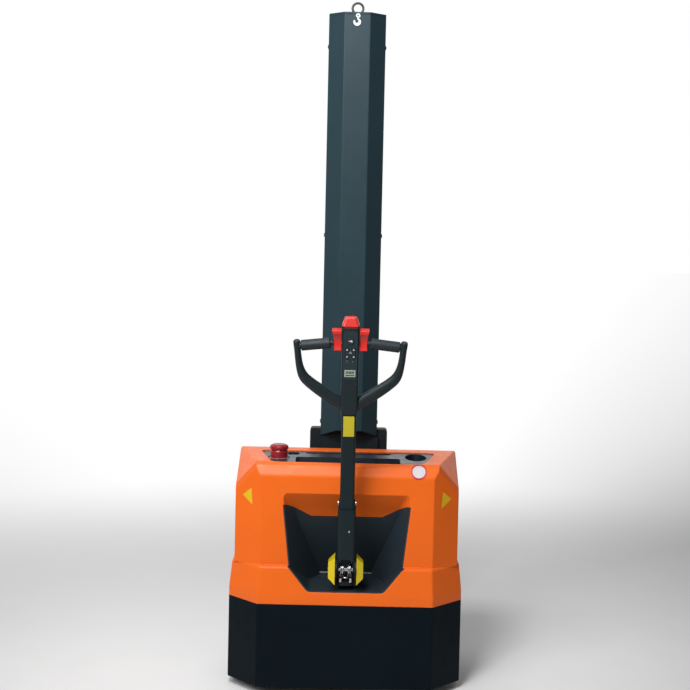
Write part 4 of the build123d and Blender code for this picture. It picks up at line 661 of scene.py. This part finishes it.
def landing(tree, start, ahead):
    """Where a line meets a surface, and the surface's direction back toward the start."""
    place, out, _, _ = tree.ray_cast(start, ahead)
    return place, out if out.dot(ahead) < 0 else -out


def seat(carrier, start, ahead, up):
    """A matrix on a solid's surface: Z points out of it, and Y is turned toward up."""
    place, out = landing(skin(carrier), start, Vector(ahead))
    across = Vector(up).cross(out).normalized()
    top = out.cross(across)
    return Matrix.Translation(place) @ Matrix((across, top, out)).transposed().to_4x4()


def tiller_frame(x, y, s):
    """A matrix on the tiller: X across, Y along it, Z toward the operator."""
    return TILLER @ Matrix.Translation(Vector((x, y, s)) * MM) @ Matrix.Rotation(math.pi / 2, 4, "X")


def tiller_seat(carrier, x, s):
    """A matrix on the surface of a solid of the tiller, facing the operator."""
    high = tiller_frame(x, TILLER_LOOK_Y, s)
    turn = high.to_3x3()
    return seat(carrier, high.translation, -(turn @ Vector((0, 0, 1))), turn @ Vector((0, 1, 0)))


def tiller_box(name):
    """A solid's box along the tiller's own axes, in millimetres."""
    back = TILLER.inverted()
    points = [back @ v.co for v in NODES[name].data.vertices]
    low = Vector([min(p[i] for p in points) for i in range(3)]) / MM
    high = Vector([max(p[i] for p in points) for i in range(3)]) / MM
    return low, high


def tiller_middle(name):
    """The middle of a solid's box along the tiller's own axes, in millimetres."""
    low, high = tiller_box(name)
    return (low + high) / 2


# Blank plates where the machine carries its signs, and the hook mark


def plate(name, carrier, outline, centre, ahead, up, body, material, inner=0.0, lift=PLATE_LIFT):
    """A thin plate that follows the surface it lies on, whole or as a ring from inner times its size."""
    tree = skin(carrier)
    ahead = Vector(ahead).normalized()
    across = ahead.cross(Vector(up)).normalized()
    top = across.cross(ahead)
    mesh = bmesh.new()
    rows = []
    for k in range(PLATE_RINGS + 1):
        part = inner + (1 - inner) * k / PLATE_RINGS
        row = []
        for x, y in outline:
            start = centre + (across * x + top * y) * part * MM - ahead * PLATE_LOOK * MM
            place, out = landing(tree, start, ahead)
            row.append(mesh.verts.new(place + out * lift * MM))
        rows.append(row)
    bridge(mesh, rows)
    bmesh.ops.remove_doubles(mesh, verts=mesh.verts, dist=SAME_PLACE)
    bmesh.ops.recalc_face_normals(mesh, faces=mesh.faces)
    if sum(f.normal.dot(ahead) for f in mesh.faces) > 0:
        bmesh.ops.reverse_faces(mesh, faces=mesh.faces)
    bmesh.ops.solidify(mesh, geom=mesh.faces[:], thickness=PLATE_WALL * MM)
    return piece(name, mesh, body, material)


def hood_plates():
    """A disc with a rim on the brow, and a triangle on each side."""
    centre = at(*DISC)
    disc = circle(DISC_R)
    plate("sign_disc", "hood", disc, centre, INTO_BROW, UP, "chassis", PLATE_WHITE)
    plate(
        "sign_disc_rim", "hood", disc, centre, INTO_BROW, UP, "chassis", PLATE_RED,
        inner=DISC_RIM, lift=PLATE_LIFT + PLATE_WALL,
    )
    middle_x, middle_z = (sum(values) / len(TRIANGLE) for values in zip(*TRIANGLE))
    for side, name in zip(SIDES, SIDE_NAMES):
        corners = [(side * (x - middle_x), z - middle_z) for x, z in TRIANGLE]
        outline = dense(rounded(corners, TRIANGLE_ROUND), TRIANGLE_GAP)
        plate(
            f"sign_triangle_{name}", "hood", outline, at(side * middle_x, 0, middle_z), FORWARD, UP,
            "chassis", SIGN_YELLOW,
        )


def tiller_label():
    """A blank plate on the tiller's tube."""
    low, high = LABEL_S
    half = LABEL_WIDE / 2
    tall = (high - low) / 2
    outline = rounded(rectangle(-half, half, -tall, tall), LABEL_ROUND)
    place = tiller_seat("tiller_tube", 0, (low + high) / 2) @ Matrix.Translation((0, 0, PLATE_LIFT * MM))
    mesh = bmesh.new()
    add_prism(mesh, outline, PLATE_WALL, place)
    piece("tiller_label", mesh, "tiller", LABEL_YELLOW, ease=LABEL_EASE)


def hook_mark():
    """A plain lifting hook: an eye, a stem and an open bow that narrows to its tip."""
    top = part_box("mast_cover")[1].z
    place = seat("mast_cover", Vector((HOOK_X * MM, SKIRT_Y, top - HOOK_DROP * MM)), FORWARD, UP)
    shares = [i / HOOK_STEPS for i in range(HOOK_STEPS + 1)]
    angles = [HOOK_FROM - HOOK_SWEEP * share for share in shares]
    eye = Vector(HOOK_EYE)
    stem = eye - Vector((0, HOOK_EYE_R - HOOK_STEM_IN))
    bow = [Vector((math.cos(a), math.sin(a))) * HOOK_R for a in angles]
    more = HOOK_HALF - HOOK_TIP_HALF
    halves = [HOOK_TIP_HALF] + [HOOK_TIP_HALF + more * math.sin(math.pi * share) for share in shares]
    mesh = bmesh.new()
    add_prism(mesh, ribbon([stem] + bow, halves), PLATE_WALL, place)
    profile = rectangle(HOOK_HOLE_R, HOOK_EYE_R, 0, PLATE_WALL)
    add_ring(mesh, profile, place @ Matrix.Translation(eye.to_3d() * MM))
    piece("hook_mark", mesh, "chassis", MARK_WHITE)


# Tiller head fittings


def head_seam():
    """The joint line of the head's two mouldings, as a thin band around it."""
    half_x, half_y = (half + SEAM_PROUD for half in HEAD_HALF)
    outline = rounded(rectangle(-half_x, half_x, -half_y, half_y), HEAD_ROUND)
    mesh = bmesh.new()
    add_prism(mesh, outline, SEAM_WALL, TILLER @ Matrix.Translation((0, 0, SEAM_S * MM)))
    piece("head_seam", mesh, "tiller", SEAM_DARK)


def head_screws():
    """Two screws above the head's seam, and one in the sleeve."""
    mesh = bmesh.new()
    for side in SIDES:
        place = tiller_seat("tiller_head", side * HEAD_SCREW_X, HEAD_SCREW_S)
        add_socket_screw(mesh, place, HEAD_SCREW_R, FLAT_SCREW_TALL)
    piece("head_screws", mesh, "tiller", BOLT_STEEL)
    mesh = bmesh.new()
    add_socket_screw(mesh, tiller_seat("tiller_sleeve", *SLEEVE_SCREW), SLEEVE_SCREW_R, FLAT_SCREW_TALL)
    piece("sleeve_screw", mesh, "tiller", STEEL)


def panel_lamps():
    """Two signal lamps on the control panel."""
    mesh = bmesh.new()
    for side in SIDES:
        add_lathe(mesh, LAMP_LENS, tiller_seat("control_panel", side * LAMP_X, LAMP_S))
    piece("panel_lamps", mesh, "tiller", LENS)


def arrow(way):
    """A plain arrow head that points up or down."""
    base = -way * ARROW * ARROW_BASE
    return [(-ARROW, base), (ARROW, base), (0, way * ARROW)][::way]


def rocker_marks():
    """An arrow head at each end of both rockers."""
    for name in SIDE_NAMES:
        carrier = f"lift_rocker_{name}"
        middle = tiller_middle(carrier)
        mesh = bmesh.new()
        for way in (-1, 1):
            place = tiller_seat(carrier, middle.x, middle.z + way * MARK_RISE)
            add_prism(mesh, arrow(way), PLATE_WALL, place)
        piece(f"rocker_marks_{name}", mesh, f"rocker_{name}", MARK_WHITE)


def horn_mark():
    """A plain bugle shape on the horn key."""
    middle = tiller_middle("horn_button")
    mesh = bmesh.new()
    add_prism(mesh, BUGLE, PLATE_WALL, tiller_seat("horn_button", middle.x, middle.z))
    piece("horn_mark", mesh, "horn", MARK_WHITE)


def panel_mark():
    """A plain double chevron between the rockers."""
    middle = tiller_middle("lift_rocker_left")
    mesh = bmesh.new()
    for rise in CHEVRON_RISES:
        add_prism(mesh, CHEVRON, PLATE_WALL, tiller_seat("control_panel", 0, middle.z + rise))
    piece("panel_mark", mesh, "tiller", MARK_WHITE)


def display_face():
    """A plain charge gauge: a row of bars over a base line."""
    low, high = tiller_box("display_window")
    place = tiller_frame((low.x + high.x) / 2, low.y, (low.z + high.z) / 2)
    wide, tall = high.x - low.x, high.z - low.z
    mesh = bmesh.new()
    bar_low, bar_high = (share * tall for share in GAUGE_BAR_Z)
    for i in range(GAUGE_BARS):
        x = wide * GAUGE_HALF * (2 * (i + GAUGE_BAR_SHIFT) / GAUGE_BARS - 1)
        add_prism(mesh, rectangle(x, x + wide * GAUGE_BAR_WIDE, bar_low, bar_high), GAUGE_WALL, place)
    base_low, base_high = (share * tall for share in GAUGE_BASE_Z)
    half = wide * GAUGE_HALF
    add_prism(mesh, rectangle(-half, half, base_low, base_high), GAUGE_WALL, place)
    piece("display_face", mesh, "tiller", SCREEN_INK)


def throttle_collars():
    """Rubber collars on the shaft between the paddles and the grips."""
    small = COLLAR_R - COLLAR_CHAMFER
    straight = COLLAR_LONG - COLLAR_CHAMFER
    profile = [(small, 0), (COLLAR_R, COLLAR_CHAMFER), (COLLAR_R, straight), (small, COLLAR_LONG)]
    mesh = bmesh.new()
    for side in SIDES:
        place = TILLER @ Matrix.Translation(Vector((side * COLLAR_X, 0, GRIP_S)) * MM)
        add_lathe(mesh, profile, place @ Matrix.Rotation(side * math.pi / 2, 4, "Y"))
    piece("throttle_collars", mesh, "throttle", GRIP_RUBBER)


# Lift chain with its plates and pins

SHEAVE = middle_of("chain_sheave")
LINK_TURN = Matrix(((0, 0, 1), (1, 0, 0), (0, 1, 0))).to_4x4()


def link_outline(pitch):
    """A figure-of-eight plate around two pins."""
    steps = range(LINK_END_STEPS + 1)
    angles = [LINK_END_FROM + LINK_END_SWEEP * i / LINK_END_STEPS for i in steps]
    upper = [(LINK_END_R * math.cos(a), pitch / 2 + LINK_END_R * math.sin(a)) for a in angles]
    return upper + [(-x, -y) for x, y in upper]


def add_link(mesh, matrix, pitch, odd):
    """Two plates of a link and a pin at its end; its neighbours use the plates between."""
    wall = 2 * CHAIN_HALF / CHAIN_PLATES
    for k in range(odd, CHAIN_PLATES, 2):
        place = matrix @ Matrix.Translation((0, 0, (k * wall - CHAIN_HALF) * MM))
        add_prism(mesh, link_outline(pitch), wall * LINK_FILL, place)
    pin = matrix @ Matrix.Translation(Vector((0, -pitch / 2, -CHAIN_HALF)) * MM)
    add_lathe(mesh, [(CHAIN_PIN_R, 0), (CHAIN_PIN_R, 2 * CHAIN_HALF)], pin, steps=CHAIN_PIN_STEPS)


def chain_run(y, start, stop, first):
    """An upright run of links from one height to another; the mesh and its number of links."""
    mesh = bmesh.new()
    count = round(abs(stop - start) / MM / CHAIN_PITCH)
    step = (stop - start) / count
    for i in range(count):
        place = Matrix.Translation((0, y, start + (i + 0.5) * step))
        add_link(mesh, place @ LINK_TURN, abs(step) / MM, (first + i) % 2)
    return mesh, count


def chain_over_sheave(first):
    """The links that lie on the upper half of the sheave."""
    mesh = bmesh.new()
    outward = Matrix.Translation((0, 0, CHAIN_RADIUS * MM)) @ Matrix.Rotation(-math.pi / 2, 4, "X")
    for i in range(LINKS_OVER):
        turn = math.pi * (0.5 - (i + 0.5) / LINKS_OVER)
        place = Matrix.Translation(SHEAVE) @ Matrix.Rotation(turn, 4, "X") @ outward
        add_link(mesh, place @ LINK_TURN, CHAIN_PITCH, (first + i) % 2)
    return mesh


def lift_chain():
    """Front run from the anchor to the sheave, links over it, and the rear run down to the carriage."""
    front_y, rear_y = SHEAVE.y - CHAIN_RADIUS * MM, SHEAVE.y + CHAIN_RADIUS * MM
    anchor_z, low_z = CHAIN_ANCHOR_Z * MM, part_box("lift_chain")[0].z
    mesh, count = chain_run(front_y, anchor_z, SHEAVE.z, 0)
    front = piece("chain_front_run", mesh, None, CHAIN_STEEL)
    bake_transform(front)
    wrap = piece("chain_over_sheave", chain_over_sheave(count), "crosshead", CHAIN_STEEL)
    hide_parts("lift_chain")
    mesh, _ = chain_run(rear_y, SHEAVE.z, low_z, count + LINKS_OVER)
    rear = piece("chain_rear_run", mesh, "crosshead", CHAIN_STEEL)
    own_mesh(rear)


# Fittings of the foot, the recess and the tray


def foot_bolts():
    """Studs and nuts that hold the tiller's foot down."""
    mesh = bmesh.new()
    for side in SIDES:
        for y in FOOT_BOLT_Y:
            place = seat("tiller_base", at(side * FOOT_BOLT_X, y, FOOT_BOLT_TOP), DOWN, FORWARD)
            add_bolt(mesh, place, FOOT_BOLT_ACROSS, FOOT_BOLT_TALL)
    piece("foot_bolts", mesh, "drive_unit", STEEL, ease=FOOT_BOLT_EASE)


def liner_step():
    """The rounded step along the foot of the recess's back wall; its light grey, far lighter than the liner,
    is a painted highlight along that foot.
    """
    x, y = LINER_LOOK
    wall, _ = landing(skin("recess_liner"), at(x, y, LINER_STEP_Z), Vector(FORWARD))
    ends = [Vector((side * LINER_STEP_HALF * MM, wall.y, wall.z)) for side in SIDES]
    mesh = bmesh.new()
    add_bead(mesh, *ends, LINER_STEP_R, 0)
    piece("liner_step", mesh, "chassis", STEP_PAINTED_HIGHLIGHT)


def tray_ribs():
    """Low ribs on the floor of the tray's trough."""
    low_y, high_y = TRAY_RIB_Y
    half_x, half_y = TRAY_RIB_HALF
    outline = rounded(rectangle(-half_x, half_x, -half_y, half_y), TRAY_RIB_ROUND)
    mesh = bmesh.new()
    for i in range(TRAY_RIBS):
        y = low_y + (high_y - low_y) * i / (TRAY_RIBS - 1)
        place = seat("storage_tray", at(0, y, TRAY_LOOK_Z), DOWN, FORWARD)
        add_prism(mesh, outline, TRAY_RIB_TALL, place)
    piece("tray_ribs", mesh, "chassis", TRAY, ease=TRAY_RIB_EASE)


# Fittings at the back and below


def service_hatches():
    """Two screwed covers on the bulkhead, left and right of the mast."""
    low_x, high_x = HATCH_X
    low_z, high_z = HATCH_Z
    half, tall = (high_x - low_x) / 2, (high_z - low_z) / 2
    outline = rounded(rectangle(-half, half, -tall, tall), HATCH_ROUND)
    covers, screws = bmesh.new(), bmesh.new()
    for side in SIDES:
        start = at(side * (low_x + high_x) / 2, HATCH_LOOK_Y, (low_z + high_z) / 2)
        place = seat("chassis_frame", start, BACKWARD, UP)
        add_prism(covers, outline, HATCH_WALL, place)
        for x in (-1, 1):
            for z in (-1, 0, 1):
                shift = Vector((x * (half - HATCH_ROUND), z * (tall - HATCH_ROUND), HATCH_WALL)) * MM
                add_socket_screw(screws, place @ Matrix.Translation(shift))
    piece("service_hatches", covers, "chassis", FORK_PAINT, ease=HATCH_EASE)
    piece("hatch_screws", screws, "chassis", BOLT_STEEL)


def carriage_bolts():
    """Bolts on the carriage's face toward the forks."""
    mesh = bmesh.new()
    for side in SIDES:
        for z in CARRIAGE_BOLT_Z:
            start = at(side * CARRIAGE_BOLT_X, CARRIAGE_LOOK_Y, z)
            add_bolt(mesh, seat("fork_carriage", start, BACKWARD, UP))
    piece("carriage_bolts", mesh, "carriage", BOLT_STEEL, ease=CARRIAGE_BOLT_EASE)


def fork_welds():
    """Weld beads where each fork's blade meets its shank."""
    away, inside = WELD_LOOK * MM, WELD_LOOK_IN * MM
    inset = 2 * BEAD_R * MM
    for name in SIDE_NAMES:
        carrier = f"fork_{name}"
        low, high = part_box(carrier)
        middle = (low.x + high.x) / 2
        tree = skin(carrier)
        shank, _ = landing(tree, Vector((middle, high.y + away, high.z - inside)), Vector(BACKWARD))
        blade, _ = landing(tree, Vector((middle, shank.y + inside, high.z + away)), Vector(DOWN))
        ends = [Vector((x, shank.y, blade.z)) for x in (low.x + inset, high.x - inset)]
        mesh = bmesh.new()
        add_bead(mesh, *ends, BEAD_R, BEAD_RIPPLE)
        piece(f"fork_weld_{name}", mesh, "carriage", FORK_PAINT)


def axle_seats(carrier, wheel):
    """Matrices on a carrier at both ends of a wheel's axle."""
    hub = middle_of(wheel)
    starts = [hub + Vector((way * AXLE_LOOK * MM, 0, 0)) for way in SIDES]
    return [seat(carrier, start, (-way, 0, 0), UP) for way, start in zip(SIDES, starts)]


def axle_caps():
    """Round caps at the ends of the load wheels' axles, and nuts at the casters' axles."""
    caps = bmesh.new()
    for name in SIDE_NAMES:
        for place in axle_seats("load_wheel_axles", f"load_wheel_{name}"):
            add_lathe(caps, AXLE_CAP, place)
        nuts = bmesh.new()
        for place in axle_seats(f"caster_fork_{name}", f"caster_wheel_{name}"):
            add_bolt(nuts, place)
        piece(f"caster_nuts_{name}", nuts, f"caster_{name}", BOLT_STEEL, ease=CASTER_NUT_EASE)
    piece("axle_caps", caps, "chassis", BOLT_STEEL)


def top_plate_screws():
    """Screws that hold the mast's top plate."""
    mesh = bmesh.new()
    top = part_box("mast_top_plate")[1].z / MM + TOP_LOOK
    for side in SIDES:
        for y in TOP_SCREW_Y:
            add_socket_screw(mesh, seat("mast_top_plate", at(side * TOP_SCREW_X, y, top), DOWN, FORWARD))
    piece("top_plate_screws", mesh, "chassis", BOLT_STEEL)


for make in (
    hood_plates, tiller_label, hook_mark, head_seam, head_screws, panel_lamps, rocker_marks, horn_mark,
    panel_mark, display_face, lift_chain, throttle_collars, foot_bolts, liner_step, tray_ribs,
    service_hatches, carriage_bolts, fork_welds, axle_caps, top_plate_screws,
):
    make()


# Stage, light and camera


def studio_light(tree, toward):
    """The studio's light along a direction: white at the back, dim on the operator's side and the right."""
    parts = node(tree, "ShaderNodeSeparateXYZ", {"Vector": toward}).outputs
    tones = []
    for axis, stops in (("Y", STUDIO_DEPTH), ("X", STUDIO_ACROSS)):
        side = node(tree, "ShaderNodeMapRange", {"Value": parts[axis], "From Min": -1.0, "From Max": 1.0})
        tones.append(ramp(tree, side.outputs["Result"], [(place, grey(tone)) for place, tone in stops]))
    light = node(tree, "ShaderNodeVectorMath", {0: tones[0], 1: tones[1]}, operation="MULTIPLY")
    return light.outputs["Vector"]


def floor_finish():
    """Matt pale grey that fades to the light of the studio with the distance."""
    made = surface("floor_pale", grey(FLOOR_GREY), 0.7, tone=0.01, relief=0.0, specular=0.0)
    tree = made.node_tree
    bsdf = tree.nodes["Principled BSDF"]
    place = node(tree, "ShaderNodeTexCoord").outputs["Object"]
    away = node(tree, "ShaderNodeVectorMath", {0: place}, operation="LENGTH").outputs["Value"]
    toward = node(tree, "ShaderNodeVectorMath", {0: place}, operation="NORMALIZE").outputs["Vector"]
    near, far = FLOOR_FADE
    fade = node(
        tree, "ShaderNodeMapRange", {"Value": away, "From Min": near, "From Max": far},
        interpolation_type="SMOOTHSTEP",
    ).outputs["Result"]
    glow = node(tree, "ShaderNodeEmission", {"Color": studio_light(tree, toward)}).outputs["Emission"]
    mixed = node(tree, "ShaderNodeMixShader", {"Fac": fade, 1: bsdf.outputs["BSDF"], 2: glow})
    tree.links.new(mixed.outputs["Shader"], tree.nodes["Material Output"].inputs["Surface"])
    return made


def stage():
    """The floor, and a world of the same studio light."""
    bpy.ops.mesh.primitive_plane_add(size=FLOOR_SIZE, location=(0, 0, FLOOR_Z))
    floor = bpy.context.object
    floor.name = "floor"
    floor.data.materials.append(floor_finish())
    world = bpy.context.scene.world or bpy.data.worlds.new("studio")
    bpy.context.scene.world = world
    world.use_nodes = True
    tree = world.node_tree
    toward = node(tree, "ShaderNodeTexCoord").outputs["Generated"]
    tree.links.new(studio_light(tree, toward), tree.nodes["Background"].inputs["Color"])
    bpy.context.scene.view_settings.view_transform = "Standard"


def lamp(name, place, target, size, power):
    """A square lamp that shines at a target."""
    light = bpy.data.lights.new(name, "AREA")
    light.size = size
    light.energy = power
    holder = bpy.data.objects.new(name, light)
    holder.location = Vector(place) + Vector((0, SKIRT_Y, 0))
    holder.rotation_euler = (Vector(target) - Vector(place)).to_track_quat("-Z", "Y").to_euler()
    bpy.context.scene.collection.objects.link(holder)


def camera():
    """The camera at the photograph's place, with its shift."""
    eye = bpy.data.cameras.new("camera")
    eye.sensor_width = SENSOR
    eye.lens = SENSOR * FOCAL_PIXELS / PICTURE
    eye.shift_x = -AXIS_RIGHT / PICTURE
    eye.shift_y = -AXIS_UP / PICTURE
    eye.clip_end = CLIP_END
    holder = bpy.data.objects.new("camera", eye)
    turn = Matrix.Rotation(math.pi / 2 - PITCH, 4, "X") @ Matrix.Rotation(ROLL, 4, "Z")
    holder.matrix_world = Matrix.Translation((0, SKIRT_Y - CAMERA_BACK, CAMERA_HIGH)) @ turn
    bpy.context.scene.collection.objects.link(holder)
    bpy.context.scene.camera = holder


stage()
for values in STUDIO_LAMPS:
    lamp(*values)
camera()
